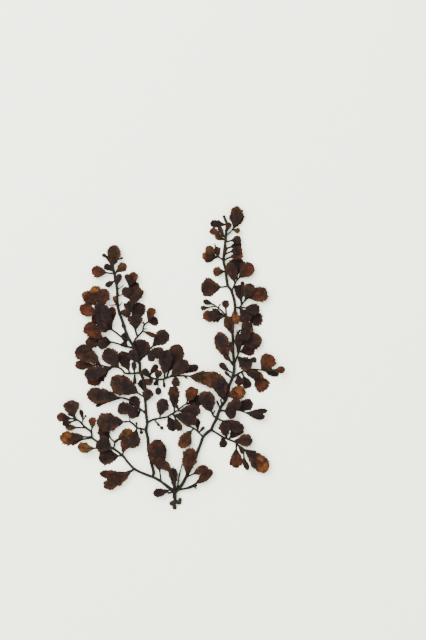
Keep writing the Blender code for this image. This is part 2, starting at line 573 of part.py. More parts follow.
def clear_start(stem, parent_stems):
    """The stem's path with its start drawn back until its end face stands clear of the parent's stems."""
    first, last, path = stem
    points = [Vector(point) for point in path]
    while len(points) > 2 or (points[1] - points[0]).length > TRIM_STEP:
        along = (points[1] - points[0]).normalized()
        side = Vector((-along.y, along.x)) * first
        room = min(
            nearest_on_stems(corner, [other])[1] - max(other[0], other[1])
            for corner in (points[0] + side, points[0] - side)
            for other in parent_stems
        )
        if room >= JOINT_GAP:
            break
        if (points[1] - points[0]).length <= TRIM_STEP:
            points.pop(0)
        else:
            points[0] = points[0] + along * TRIM_STEP
    return (first, last, points)


def stem_object(name, stem):
    """A stem: a tapered tube with closed ends that follows its path at the stems' own height."""
    first, last, path = stem
    curve = bpy.data.curves.new(name, "CURVE")
    curve.dimensions = "3D"
    curve.bevel_depth = MM
    curve.bevel_resolution = MAIN_STEM_RESOLUTION if first > MAIN_STEM else TWIG_RESOLUTION
    curve.use_fill_caps = True
    spline = curve.splines.new("POLY")
    spline.points.add(len(path) - 1)
    for index, (point, place) in enumerate(zip(spline.points, path)):
        point.co = (place[0] * MM, place[1] * MM, STEM_Z * MM, 1.0)
        point.radius = first + (last - first) * index / (len(path) - 1)
    holder = bpy.data.objects.new(name, curve)
    bpy.context.scene.collection.objects.link(holder)
    bpy.context.view_layer.update()
    graph = bpy.context.evaluated_depsgraph_get()
    mesh = bpy.data.meshes.new_from_object(holder.evaluated_get(graph))
    made = bpy.data.objects.new(name, mesh)
    made.matrix_world = holder.matrix_world
    bpy.data.objects.remove(holder)
    shape = bmesh.new()
    shape.from_mesh(mesh)
    bmesh.ops.remove_doubles(shape, verts=shape.verts, dist=WELD)
    bmesh.ops.recalc_face_normals(shape, faces=shape.faces)
    shape.to_mesh(mesh)
    shape.free()
    return made


class Leaf:
    """A leaf as laid out in plan: its middle line, its half width along it and, once laid, its height."""

    def __init__(self, foot, tip, width, options):
        self.foot = Vector(foot)
        self.tip = Vector(tip)
        self.width = width
        self.stalk = options.get("stalk", STALK_SHARE)
        self.bow = options.get("bow", 0.0)
        self.along = self.tip - self.foot
        self.length = self.along.length
        self.left = Vector((-self.along.y, self.along.x)).normalized()
        self.level = None
        self.phase = 0.0
        self.root_lift = 0.0
        self.root_depth = ROOT_OVERLAP

    def middle(self, share):
        """The middle line at a share of the leaf's length."""
        lift = 4.0 * self.bow * self.length * share * (1.0 - share)
        return self.foot + self.along * share + self.left * lift

    def across(self, share):
        """The direction to the left of the middle line."""
        lift = 4.0 * self.bow * self.length * (1.0 - 2.0 * share)
        slope = self.along + self.left * lift
        return Vector((-slope.y, slope.x)).normalized()

    def half_width(self, share):
        """Half the blade's width: a narrow stalk, then a wedge that swells to a rounded end."""
        narrow = STALK_WIDTH / 2.0
        if share <= self.stalk:
            return narrow
        past = (share - self.stalk) / (1.0 - self.stalk)
        power = math.log(0.5) / math.log(WIDEST)
        swell = max(0.0, math.sin(math.pi * past ** power)) ** FULLNESS
        return narrow * (1.0 - past) + (self.width / 2.0 - narrow * (1.0 - past)) * swell

    def height(self, share, side):
        """The height of the blade's middle surface, given how far along and how far to the left."""
        if self.level == UNDER_Z:
            wave = 0.0
        else:
            wave = BLADE_WAVE * math.sin(WAVES * share + self.phase) * side
        rise = self.level - STEM_Z
        neck = min(max(NECK_LENGTH, NECK_PER_RISE * abs(rise)), NECK_SHARE * self.length)
        risen = max(0.0, min(1.0, (share * self.length - NECK_START) / neck))
        start = STEM_Z + self.root_lift * (1.0 - risen)
        return start + (rise + wave) * (3.0 - 2.0 * risen) * risen * risen

    def stations(self):
        """Shares of the length at which the rim has its teeth and notches."""
        count = max(FEWEST_TEETH, min(MOST_TEETH, round(self.length * (1.0 - self.stalk) / TOOTH_PITCH)))
        rows = [(-self.root_depth / self.length, 0.0)]
        necks = max(1, round(self.stalk * self.length / NECK_PITCH))
        for index in range(1, necks + 1):
            rows.append((self.stalk * index / necks, 0.0))
        for index in range(1, count + 1):
            past = index / (count + 1)
            rows.append((self.stalk + (1.0 - self.stalk) * past ** TIP_CROWDING, (-1.0) ** index))
        return rows

    def outline(self):
        """The left and the right chain of rim points, root first, each a (share, offset) pair."""
        left, right = [], []
        for share, bite in self.stations():
            half = self.half_width(share)
            left.append((share, half * (1.0 + TOOTH * bite)))
            right.append((share, -half * (1.0 - TOOTH * bite)))
        return left, right

    def place(self, share, offset):
        """The point of the blade's middle surface at a share of the length, set off to the left."""
        plan = self.middle(share) + self.across(share) * offset
        side = offset / max(self.half_width(share), STALK_WIDTH / 2.0)
        return Vector((plan.x, plan.y, self.height(share, side)))


def leaf_object(name, leaf):
    """A leaf: a strip of faces between its two toothed edges, thickened to a leathery blade."""
    left, right = leaf.outline()
    shape = bmesh.new()
    lefts = [shape.verts.new(leaf.place(*spot) * MM) for spot in left]
    rights = [shape.verts.new(leaf.place(*spot) * MM) for spot in right]
    for index in range(len(lefts) - 1):
        corners = (lefts[index], rights[index], rights[index + 1], lefts[index + 1])
        shape.faces.new((corners[0], corners[1], corners[2]))
        shape.faces.new((corners[0], corners[2], corners[3]))
    end = shape.verts.new(leaf.place(1.0, 0.0) * MM)
    shape.faces.new((lefts[-1], rights[-1], end))
    mesh = bpy.data.meshes.new(name)
    shape.to_mesh(mesh)
    shape.free()
    made = bpy.data.objects.new(name, mesh)
    bpy.context.scene.collection.objects.link(made)
    thick = made.modifiers.new("thickness", "SOLIDIFY")
    thick.thickness = BLADE_THICKNESS * MM
    thick.offset = 0.0
    bpy.context.view_layer.update()
    graph = bpy.context.evaluated_depsgraph_get()
    solid = bpy.data.meshes.new_from_object(made.evaluated_get(graph))
    made.modifiers.clear()
    made.data = solid
    shape = bmesh.new()
    shape.from_mesh(solid)
    bmesh.ops.triangulate(shape, faces=shape.faces)
    bmesh.ops.recalc_face_normals(shape, faces=shape.faces)
    shape.to_mesh(solid)
    shape.free()
    bpy.context.scene.collection.objects.unlink(made)
    return made


def ball_object(name, place, half_axes, height, fineness):
    """A bladder or a lobe: a ball squashed to its three half axes."""
    shape = bmesh.new()
    bmesh.ops.create_icosphere(shape, subdivisions=fineness, radius=MM)
    bmesh.ops.scale(shape, verts=shape.verts, vec=Vector(half_axes))
    bmesh.ops.translate(shape, verts=shape.verts, vec=Vector((place[0], place[1], height)) * MM)
    mesh = bpy.data.meshes.new(name)
    shape.to_mesh(mesh)
    shape.free()
    return bpy.data.objects.new(name, mesh)


def largest_piece(mesh, name):
    """Drops any scrap that the joining left loose, so that the node is one body."""
    shape = bmesh.new()
    shape.from_mesh(mesh)
    islands = []
    unseen = set(shape.faces)
    while unseen:
        island = {unseen.pop()}
        edge = list(island)
        while edge:
            near = {other for link in edge.pop().edges for other in link.link_faces} & unseen
            unseen -= near
            island |= near
            edge.extend(near)
        islands.append(island)
    islands.sort(key=len, reverse=True)
    loose = [face for island in islands[1:] for face in island]
    if loose:
        print(name, "dropped", len(islands) - 1, "loose scraps of", len(loose), "faces")
        bmesh.ops.delete(shape, geom=loose, context="FACES")
    bmesh.ops.triangulate(shape, faces=shape.faces)
    shape.to_mesh(mesh)
    shape.free()


def open_edges(mesh):
    """How many of a mesh's edges don't have exactly two faces."""
    shape = bmesh.new()
    shape.from_mesh(mesh)
    found = sum(1 for edge in shape.edges if len(edge.link_faces) != 2)
    shape.free()
    return found


def fuse(name, pieces, material):
    """One node from many pieces: a Boolean union of the first with all the others."""
    made = pieces[0]
    made.name = name
    bpy.context.scene.collection.objects.link(made)
    helpers = bpy.data.collections.new(name + "_pieces")
    bpy.context.scene.collection.children.link(helpers)
    for piece in pieces[1:]:
        helpers.objects.link(piece)
    join = made.modifiers.new("join", "BOOLEAN")
    join.operation = "UNION"
    join.operand_type = "COLLECTION"
    join.collection = helpers
    for solver in ("EXACT", "MANIFOLD"):
        join.solver = solver
        bpy.context.view_layer.update()
        graph = bpy.context.evaluated_depsgraph_get()
        joined = bpy.data.meshes.new_from_object(made.evaluated_get(graph))
        if not open_edges(joined):
            break
    made.modifiers.clear()
    made.data = joined
    for piece in pieces[1:]:
        bpy.data.objects.remove(piece)
    bpy.data.collections.remove(helpers)
    largest_piece(joined, name)
    joined.materials.clear()
    joined.materials.append(material)
    print(name, len(joined.polygons), "faces by", solver)
    return made


class Bed:
    """What already lies where: for each small square of the plan, the heights that each node fills there."""

    def __init__(self):
        self.filled = {}

    def cells(self, place, reach):
        """The squares within reach of a place."""
        low_x = math.floor((place[0] - reach) / LAYING_CELL)
        high_x = math.floor((place[0] + reach) / LAYING_CELL)
        low_y = math.floor((place[1] - reach) / LAYING_CELL)
        high_y = math.floor((place[1] + reach) / LAYING_CELL)
        return [(x, y) for x in range(low_x, high_x + 1) for y in range(low_y, high_y + 1)]

    def fill(self, node, samples):
        """Notes the heights that a piece fills, given (place, reach, low, high) samples."""
        for place, reach, low, high in samples:
            for cell in self.cells(place, reach):
                self.filled.setdefault(cell, []).append((node, low, high))

    def clashes(self, samples, counts):
        """How many squares would hold this piece and another that counts, within the laying gap."""
        found = 0
        for place, reach, low, high in samples:
            for cell in self.cells(place, reach):
                for other, other_low, other_high in self.filled.get(cell, ()):
                    near = low - LAYING_GAP < other_high and high + LAYING_GAP > other_low
                    if near and counts(other):
                        found += 1
        return found


def stem_samples(stem):
    """Samples of a stem for the bed."""
    first, last, path = stem
    thick = max(first, last)
    samples = []
    for start, end in zip(path, path[1:]):
        start, end = Vector(start), Vector(end)
        steps = max(1, math.ceil((end - start).length / LAYING_CELL))
        for index in range(steps + 1):
            place = start + (end - start) * index / steps
            samples.append((place, thick + LAYING_MARGIN, STEM_Z - thick, STEM_Z + thick))
    return samples


def leaf_samples(leaf):
    """Samples of a leaf for the bed, from a little way out of its stem."""
    samples = []
    steps = math.ceil(leaf.length / SAMPLE_STEP)
    for index in range(1, steps + 1):
        share = index / steps
        if share * leaf.length < OUT_OF_STEM:
            continue
        half = leaf.half_width(share) * (1.0 + TOOTH)
        rows = max(1, math.ceil(2.0 * half / SAMPLE_STEP))
        for row in range(rows + 1):
            spot = leaf.place(share, half * (2.0 * row / rows - 1.0))
            thick = BLADE_THICKNESS / 2.0
            samples.append((spot.xy, LAYING_MARGIN, spot.z - thick, spot.z + thick))
    return samples


def lay_leaf(leaf, node, bed, under_first):
    """Lays a leaf on the lowest height where it clears what lies there, other nodes' pieces above all."""
    overs = [FIRST_OVER_Z + LAYER_STEP * index for index in range(LAYERS_OVER)]
    heights = [UNDER_Z] + overs if under_first else overs + [UNDER_Z]
    best = None
    for order, height in enumerate(heights):
        leaf.level = height
        samples = leaf_samples(leaf)
        settled = [sample for sample in samples if abs(sample[2] + sample[3] - 2.0 * height) < SETTLED]
        foreign = bed.clashes(samples, lambda other: other != node)
        own = 0 if foreign else bed.clashes(settled, lambda other: other == node)
        rank = (foreign, max(0, own - OWN_CLASHES_ALLOWED), order)
        if best is None or rank < best[0]:
            best = (rank, height, samples)
        if rank[:2] == (0, 0):
            break
    leaf.level = best[1]
    if best[0][0]:
        print(node, "leaf at", tuple(leaf.tip), "clashes", best[0][0])
    bed.fill(node, best[2])


def lay_out():
    """Every shoot with its stems drawn clear of the parent's and its leaves laid at their heights."""
    draw = random.Random(SEED)
    bed = Bed()
    plan = {}
    for name, shoot in SHOOTS.items():
        stems = [(first, last, [Vector(point) for point in path]) for first, last, path in shoot["stems"]]
        parent = shoot.get("parent")
        if parent:
            stems[0] = clear_start(shoot["stems"][0], plan[parent]["stems"])
        plan[name] = {"stems": stems, "leaves": [], "bladders": shoot.get("bladders", [])}
        for stem in stems:
            samples = stem_samples(stem)
            bed.fill(name, samples)
    for name, shoot in plan.items():
        for place, half_axes in shoot["bladders"]:
            reach = max(half_axes[0], half_axes[1]) + LAYING_MARGIN
            bed.fill(name, [(place, reach, STEM_Z - half_axes[2], STEM_Z + half_axes[2])])
    for name, shoot in SHOOTS.items():
        stems = plan[name]["stems"]
        for index, (foot, tip, width, options) in enumerate(shoot["leaves"]):
            foot = nearest_on_stems(foot, stems)[0]
            leaf = Leaf(foot, tip, width, options)
            leaf.phase = draw.uniform(0.0, 2.0 * math.pi)
            leaf.root_lift = draw.uniform(-ROOT_LIFT, ROOT_LIFT)
            leaf.root_depth = draw.uniform(LEAST_OVERLAP, 1.0) * ROOT_OVERLAP
            lay_leaf(leaf, name, bed, index % 2 == 1)
            plan[name]["leaves"].append(leaf)
    return plan


def build_shoot(name, shoot, material):
    """One shoot's node: its stems, leaves and bladders in one solid."""
    pieces = [stem_object(name, stem) for stem in shoot["stems"]]
    for index, leaf in enumerate(shoot["leaves"]):
        pieces.append(leaf_object(f"{name}_leaf_{index}", leaf))
    for index, (place, half_axes) in enumerate(shoot["bladders"]):
        pieces.append(ball_object(f"{name}_bladder_{index}", place, half_axes, STEM_Z, BLADDER_FINENESS))
    return fuse(name, pieces, material)


def build_holdfast(material):
    """The holdfast: a clump of rounded lobes with a flat underside, cut level where it gripped the rock."""
    pieces = []
    for index, (place, half_axes) in enumerate(HOLDFAST_LOBES):
        pieces.append(ball_object(f"lobe_{index}", place, half_axes, HOLDFAST_LIFT, LOBE_FINENESS))
    clump = fuse("holdfast", pieces, material)
    shape = bmesh.new()
    shape.from_mesh(clump.data)
    cut = bmesh.ops.bisect_plane(
        shape,
        geom=shape.verts[:] + shape.edges[:] + shape.faces[:],
        plane_co=(0.0, 0.0, 0.0),
        plane_no=(0.0, 0.0, -1.0),
        clear_outer=True,
    )
    rim = [item for item in cut["geom_cut"] if isinstance(item, bmesh.types.BMEdge)]
    bmesh.ops.contextual_create(shape, geom=rim)
    bmesh.ops.triangulate(shape, faces=shape.faces)
    bmesh.ops.recalc_face_normals(shape, faces=shape.faces)
    shape.to_mesh(clump.data)
    shape.free()
    return clump


def main():
    """Builds the plant."""
    clear_scene()
    stem_finish = make_material("dried_stem", STEM_BROWN, STEM_ROUGHNESS)
    blade_finish = make_material("dried_blade", BLADE_BROWN, BLADE_ROUGHNESS)
    build_holdfast(stem_finish)
    for name, shoot in lay_out().items():
        build_shoot(name, shoot, blade_finish)


if __name__ == "__main__":
    main()
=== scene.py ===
# %% [markdown]
# # A dried branch of sargassum
# This is a brown seaweed that was laid out, pressed and dried, so it lies almost flat. It has a
# small holdfast, a short stipe, three long stems and side shoots with stalked, toothed leaves and
# a few round air bladders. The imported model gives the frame: where each shoot is and how high its
# leaves lie. This script makes each shoot again, finer, and gives it the look of dried seaweed.

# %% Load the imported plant
import json
import math
import random

import bmesh
import bpy
import numpy as np
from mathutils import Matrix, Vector, noise

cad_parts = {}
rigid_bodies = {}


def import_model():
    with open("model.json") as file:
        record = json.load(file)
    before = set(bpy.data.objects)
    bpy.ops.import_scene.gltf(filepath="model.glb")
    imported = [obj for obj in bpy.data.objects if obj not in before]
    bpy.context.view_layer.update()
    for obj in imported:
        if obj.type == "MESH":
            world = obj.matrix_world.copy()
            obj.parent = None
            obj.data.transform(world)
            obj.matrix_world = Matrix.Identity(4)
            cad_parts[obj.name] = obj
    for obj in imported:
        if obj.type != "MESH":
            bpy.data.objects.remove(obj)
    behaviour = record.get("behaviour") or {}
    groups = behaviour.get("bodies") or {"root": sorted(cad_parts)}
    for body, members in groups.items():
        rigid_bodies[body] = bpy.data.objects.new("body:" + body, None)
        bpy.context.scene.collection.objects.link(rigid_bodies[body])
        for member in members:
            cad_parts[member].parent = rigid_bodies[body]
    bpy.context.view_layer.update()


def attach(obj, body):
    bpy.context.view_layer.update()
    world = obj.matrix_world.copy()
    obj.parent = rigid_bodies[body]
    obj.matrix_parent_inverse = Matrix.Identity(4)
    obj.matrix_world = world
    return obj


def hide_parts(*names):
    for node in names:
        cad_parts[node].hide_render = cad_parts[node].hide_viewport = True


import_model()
MM = 0.001

# %% [markdown]
# ## Where every stem and leaf is
# A pressed plant isn't random: each stem and leaf has a place. The table holds those places in
# millimetres, as seen from above, X to the right and Y from the holdfast to the tips. Typing them
# in beats scattering, because the branching is what makes the plant this plant. A stem is
# (first radius, last radius, points). A leaf is (foot x, foot y, tip x, tip y, width, tones),
# where the two letters are the tones at its base and at its tip. After them may come its stalk's
# share of the length, usually 0.2, and its bow to the left as a share of the length, usually none.
# A bladder is (place, half axes).

# %% The plant's layout
SHOOTS = {
    "stipe": {
        "stems": [
            (1.35, 1.1, [(2.7, -88), (2.6, -86), (2.4, -84.6), (0.2, -82.4), (-2.6, -80.2)]),
            (1.1, 1, [(2.6, -85.2), (4.2, -83.4), (5.7, -81.6)]),
            (0.62, 0.46, [(4, -83.4), (5.2, -76.5), (5.8, -72.6), (6.6, -70), (7.3, -66.7)]),
            (0.75, 0.64, [(4.4, -83.2), (8, -82.4), (12, -81.7), (14.8, -80.9), (16.3, -82.2)]),
        ],
        "leaves": [
            (0.6, -82.9, -11, -85.4, 5.6, "DD", 0.16), (1.8, -84.2, -1.9, -84.8, 1.5, "DD"),
            (2.4, -84.4, 1.7, -68.6, 5.8, "DD", 0.26), (3, -84.6, -9.4, -64, 6.6, "KK", 0.5, -0.19),
            (8, -82.4, 26.2, -69.9, 6.1, "KK", 0.4, -0.07), (14.8, -80.9, 17, -80, 1.6, "DD"),
        ],
    },
    "left_branch": {
        "stems": [
            (1, 0.64, [
                (-3.5, -79.5), (-8, -76.4), (-11.4, -74.8), (-16.4, -72.9), (-22.7, -69.8),
                (-27, -65.4), (-30.2, -61.4), (-36.5, -56.6), (-41.4, -54.8), (-46, -52.6),
                (-49.4, -50), (-50.2, -46.2), (-54.2, -43.2), (-57, -40), (-59.6, -38.2),
                (-61.8, -36.2),
            ]),
            (0.6, 0.46, [(-36, -57), (-35.3, -53), (-37.6, -50.6), (-39, -47.6)]),
            (0.47, 0.4, [(-56, -41.2), (-55.2, -38.8), (-53.9, -36.8)]),
        ],
        "leaves": [
            (-5.8, -77.9, -9.2, -50.9, 12.3, "DK", 0.28),
            (-22.8, -69.9, -44.8, -72.6, 5.9, "KK", 0.28, 0.09),
            (-22.8, -69.9, -42.2, -80.8, 8.4, "KK", 0.14, 0.03),
            (-30.4, -61.2, -45.6, -61.7, 10.8, "DB", 0.18, 0.04),
            (-35.2, -57.6, -46, -52.2, 11, "DD"),
            (-39.4, -55.6, -44.2, -42.8, 7.6, "DB", 0.2, -0.03),
            (-40.8, -55.1, -58.2, -55.4, 7.4, "OA", 0.44, 0.07),
            (-49.5, -49.9, -69.9, -48.8, 9.1, "KA", 0.32, 0.09),
            (-49.6, -49.4, -62.4, -49.2, 4.8, "BB", 0.4),
            (-53.6, -43.6, -66.5, -43.3, 4.2, "OO", 0.45),
            (-50.2, -46.3, -49.8, -36.8, 5.3, "RR", 0.3, -0.08),
            (-55.3, -39, -57, -32.2, 2.9, "DD"), (-60, -37.8, -63.3, -26.2, 10.2, "BD", 0.16, 0.02),
            (-59.5, -38.3, -72, -36.2, 6, "DR", 0.3, 0.04),
            (-58.9, -38.7, -68.2, -41.5, 3.8, "DD", 0.35), (-61.4, -36.6, -64.6, -34.3, 1.7, "DD"),
            (-30.2, -61.4, -27.2, -49.7, 6.9, "RB", 0.2, 0.03),
            (-35.4, -53.4, -24.4, -45.2, 6, "OA", 0.2, 0.03),
            (-35.4, -53.6, -33.4, -50.6, 1.8, "DD"),
        ],
        "bladders": [((-39.2, -47), (0.9, 1.1, 0.9)), ((-53.7, -36.3), (0.7, 0.9, 0.7))],
    },
    "middle_stem": {
        "parent": "left_branch",
        "stems": [
            (1.05, 0.9, [
                (-11.4, -74.8), (-10.7, -71.6), (-12.1, -66.2), (-13.8, -58), (-14.4, -50.4),
                (-15.4, -45.2), (-14.8, -40.8), (-15.4, -35), (-15.8, -28.6), (-16.3, -23),
                (-16.2, -17), (-17.4, -12.6), (-19.1, -8.6), (-19.3, -3.6), (-20.6, 1.2),
                (-23.4, 7.4), (-26.4, 12.8), (-28.6, 18.2), (-30.8, 24.8), (-32.7, 29.7),
                (-33.6, 36), (-33.7, 42.8), (-34.6, 48.6), (-35.9, 55.4), (-38.2, 61.2),
                (-41.2, 64.8),
            ]),
            (0.45, 0.36, [(-33.8, 43.6), (-31.5, 45), (-29.6, 46.4)]),
            (0.45, 0.36, [(-33.6, 39.4), (-31.4, 40.2), (-29.6, 41.4), (-30.2, 43.2)]),
            (0.45, 0.36, [(-33.2, 32.6), (-31.6, 34.2), (-30.4, 35.8)]),
            (0.45, 0.36, [(-33.4, 34.4), (-36.4, 33.8), (-38.8, 33.9)]),
        ],
        "leaves": [
            (-15.9, -27.6, -13.4, -19.2, 6.6, "DD", 0.1),
            (-16.2, -21.2, -18.8, -13.3, 5.6, "DD", 0.12),
            (-16.2, -24.8, -38.3, -14.9, 13.1, "DB", 0.22, -0.07),
            (-19.4, -3.2, -17.2, 12.1, 11.2, "DD", 0.1, 0.04),
            (-19.3, -4, -25.4, 5.4, 7, "DD", 0.22), (-28.2, 16.6, -30.4, 22, 2.6, "BR"),
            (-33.3, 33.4, -34.9, 39.8, 2.8, "BR", 0.2, 0.1),
            (-32.6, 29.6, -25, 28.2, 5.9, "BD", 0.12), (-34.7, 49.4, -41, 45.6, 4, "DD"),
            (-34.2, 46, -32, 53.8, 4.1, "DD", 0.2, -0.06),
            (-35.4, 53.6, -49.5, 55.6, 8.3, "RR", 0.36), (-35.8, 54.8, -42, 59.4, 4.2, "DD"),
            (-36.3, 56.6, -35.9, 71.7, 9.3, "BB", 0.16, -0.03),
            (-35.4, 53.4, -28, 59.8, 5.9, "OO", 0.2, 0.03),
            (-38, 60.8, -29.6, 63.6, 1.6, "DD", 0.7),
        ],
        "bladders": [((-42, 65.3), (1.4, 1.2, 1))],
    },
    "middle_shoot_1": {
        "parent": "middle_stem",
        "stems": [
            (0.72, 0.61, [
                (-15.4, -44.9), (-18.6, -44.3), (-21.3, -43.5), (-23.7, -41.2), (-26.4, -39.5),
            ]),
            (0.45, 0.4, [(-21.4, -43.4), (-21.4, -41.4)]),
            (0.43, 0.36, [(-25.6, -40), (-26, -36.8)]),
        ],
        "leaves": [
            (-26, -39.7, -46.6, -40.2, 12.4, "DB", 0.18),
            (-21.2, -43.5, -24.2, -56.3, 8.5, "DD", 0.12), (-18.8, -44.2, -17.9, -47.6, 2.4, "DD"),
        ],
        "bladders": [((-21.4, -41), (0.8, 1.1, 0.8))],
    },
    "middle_shoot_2": {
        "parent": "middle_stem",
        "stems": [
            (0.75, 0.55, [
                (-14.9, -40.7), (-11.4, -38.7), (-6.8, -37.7), (-2.6, -36.9), (0.6, -35), (4, -33),
                (7, -30.5), (10.2, -28.3),
            ]),
            (0.54, 0.43, [(-10.4, -38.5), (-8.2, -41), (-6.3, -43)]),
        ],
        "leaves": [
            (-7, -37.7, -3.7, -25.1, 8.2, "DD", 0.16), (2.4, -34, 2.2, -17, 7.4, "DK", 0.16),
            (9.9, -28.4, 15.2, -17.6, 8, "RR", 0.14), (9.4, -28.8, 20, -26, 7.2, "DD"),
            (4, -33, 18.9, -32.8, 9, "DD", 0.14), (-1.8, -36.5, 3.2, -45.6, 8, "DD", 0.1),
            (1.6, -34.4, 6.6, -45.6, 4.6, "BB", 0.3), (0.6, -35, 17, -39.6, 8.8, "DD", 0.14),
            (5, -32.2, 3.4, -28.8, 2.5, "BB"), (-8.8, -40.2, -7.2, -42.6, 2, "DD"),
        ],
        "bladders": [((-5.5, -43.8), (1.25, 1.25, 1.1))],
    },
    "middle_shoot_3": {
        "parent": "middle_stem",
        "stems": [
            (0.75, 0.61, [
                (-15.5, -34.9), (-18, -32.7), (-20.3, -31.2), (-23.6, -28.4), (-27.4, -25.6),
                (-32.4, -24.5),
            ]),
        ],
        "leaves": [
            (-31.8, -24.6, -52.7, -22.6, 10.4, "DB", 0.08, -0.01),
            (-31.2, -24.7, -47.4, -30.2, 2.3, "DD", 0.74),
            (-20.2, -31.3, -33.6, -31.5, 8.4, "DD", 0.18),
            (-19.4, -31.8, -24.8, -24.2, 7.6, "BD", 0.1),
            (-19.8, -31.6, -26, -36.4, 5.8, "DD", 0.14), (-19, -32, -21.3, -37.2, 1.9, "DD"),
        ],
    },
    "middle_shoot_4": {
        "parent": "middle_stem",
        "stems": [
            (0.75, 0.51, [
                (-19.1, -8.9), (-23, -9.3), (-28.4, -9.2), (-31, -6.6), (-34.4, -5.3),
                (-39.4, -5.2), (-44, -4.2), (-47.2, -3.9),
            ]),
        ],
        "leaves": [
            (-44.2, -4.2, -60.4, 3.8, 9.8, "BB", 0.06, -0.11),
            (-46.8, -3.9, -60.4, -3.5, 6, "KK", 0.2, 0.04),
            (-37.6, -5.2, -53.9, -10, 9.6, "DD", 0.1, 0.05),
            (-36.6, -5.2, -52.6, -15.4, 8.4, "DR", 0.2, 0.04),
            (-32, -6.3, -41.4, 5.8, 10.6, "DD", 0.1), (-25.8, -9.3, -31, 4.8, 8, "DD", 0.14),
            (-22.8, -9.2, -22.9, -1.7, 3.6, "DD"), (-22.6, -9.3, -22.3, -16.3, 2.5, "DD"),
        ],
    },
    "middle_shoot_5": {
        "parent": "middle_stem",
        "stems": [
            (0.75, 0.55, [
                (-18.9, -9.4), (-16, -10.2), (-12, -12), (-8.6, -13), (-4.6, -13), (-1, -11.8),
                (4, -10.9), (9, -10.9), (12.2, -11),
            ]),
            (0.51, 0.4, [(-7.8, -13), (-7.8, -18.4)]),
        ],
        "leaves": [
            (11.6, -10.9, 28.4, -12.6, 8.8, "BO", 0.05, -0.01),
            (3.4, -11, 17.6, -5, 5.3, "DD", 0.35, 0.02), (-0.8, -11.8, 11.3, -1.4, 9.6, "DD", 0.14),
            (-2.4, -12.3, 6.2, 8.6, 11, "DB", 0.2, 0.03), (-3.8, -12.8, -2.8, 5.6, 8.8, "DD", 0.16),
            (-13.6, -11.2, -8.4, -3.6, 3.8, "KB"), (-8.8, -13, -6.5, -7.3, 4.9, "DD", 0.1),
            (-12.6, -11.8, -17.6, -6.6, 4.7, "DD", 0.12),
            (-10.6, -12.4, -15.2, -16, 5.1, "DR", 0.1), (-8.6, -13, -9.8, -17.2, 2.8, "DD"),
            (-4.2, -12.9, -3.8, -18.4, 1.9, "DD"), (3.2, -11, 3.4, -17.6, 5.9, "DD", 0.08),
            (8.4, -10.9, 10.8, -12.6, 1.2, "DD"),
        ],
        "bladders": [((-7.7, -20.6), (2.1, 2.4, 1.3))],
    },
    "middle_shoot_6": {
        "parent": "middle_stem",
        "stems": [
            (0.75, 0.61, [(-20.3, 0.6), (-16, 3.2), (-12, 7.2)]),
        ],
        "leaves": [
            (-16, 3.2, -3.4, 3.9, 8, "DD", 0.1), (-12.2, 7, -1.6, 16.6, 9.4, "DD", 0.12, 0.02),
            (-14.2, 5, -10.4, -1.4, 5.5, "DD", 0.1),
        ],
    },
    "middle_shoot_7": {
        "parent": "middle_stem",
        "stems": [
            (0.75, 0.55, [(-23.2, 6.8), (-28.6, 7.8), (-32.3, 9.1), (-36, 10.2), (-42, 11.4)]),
        ],
        "leaves": [
            (-41.6, 11.3, -53.9, 21.8, 9.3, "RR", 0.1), (-41.4, 11.3, -53.9, 9.8, 7.4, "KR", 0.1),
            (-40, 11, -59.8, 5, 5.1, "BB", 0.3), (-37, 10.4, -45.4, 8.4, 6.6, "DD", 0.1),
            (-37.4, 10.5, -42.6, 13.4, 3.2, "DD"), (-27.6, 7.6, -29.9, 16.3, 4, "DD"),
            (-26.4, 7.4, -31, 9.8, 3.8, "DD", 0.1),
        ],
    },
    "middle_shoot_8": {
        "parent": "middle_stem",
        "stems": [
            (0.75, 0.49, [
                (-26, 11.6), (-30.6, 13.6), (-34.3, 16.4), (-37.7, 18.8), (-40.6, 21.9),
                (-42.8, 26), (-44.4, 32),
            ]),
        ],
        "leaves": [
            (-43, 26.8, -57.5, 32.2, 8.3, "RR", 0.18, -0.03),
            (-44.2, 31.2, -55.5, 42, 7.4, "RA", 0.25), (-44.4, 31.6, -48.2, 46, 7.8, "KA", 0.25),
            (-43.8, 29.8, -41.2, 44.4, 7.8, "KK", 0.14), (-42.4, 25.2, -45, 35.6, 8, "DD", 0.1),
            (-41, 22.6, -49.8, 26.6, 7, "DK", 0.12), (-40.4, 21.7, -46.4, 27.4, 6.6, "DD", 0.1),
            (-36.9, 18.2, -46.4, 20.6, 7, "DD", 0.12), (-36.8, 18, -42.2, 33.4, 7.4, "DD", 0.1),
            (-37.6, 18.7, -36.9, 32.8, 5.3, "KR", 0.35, -0.03),
        ],
    },
    "middle_shoot_9": {
        "parent": "middle_stem",
        "stems": [
            (0.75, 0.51, [
                (-23.8, 8.4), (-22.6, 11.6), (-20.4, 14.4), (-17.7, 17.4), (-16.8, 20.8),
                (-13.8, 23.6),
            ]),
            (0.43, 0.36, [(-17.4, 18.6), (-14.6, 18.9)]),
        ],
        "leaves": [
            (-14, 23.4, -11.4, 32.1, 6.3, "KR", 0.1), (-14.4, 23.1, -7.7, 24, 5.9, "DD", 0.1),
            (-17.7, 17.5, -9.3, 14.2, 3.5, "KK"), (-16.2, 21.3, -17.6, 23.2, 1.2, "DD"),
        ],
    },
    "middle_shoot_10": {
        "parent": "middle_shoot_9",
        "stems": [
            (0.69, 0.49, [
                (-20.9, 13.8), (-22.2, 18), (-23.2, 23), (-24.2, 29.6), (-25.2, 36.4), (-26.2, 46),
            ]),
        ],
        "leaves": [
            (-22, 17, -22, 28.4, 9.2, "DD", 0.14), (-22.9, 21.6, -18.6, 35.2, 9, "DD", 0.16),
            (-24, 28.6, -26.8, 36.4, 7.6, "DD", 0.12), (-24.5, 31.6, -20.4, 45.8, 9.4, "DB", 0.16),
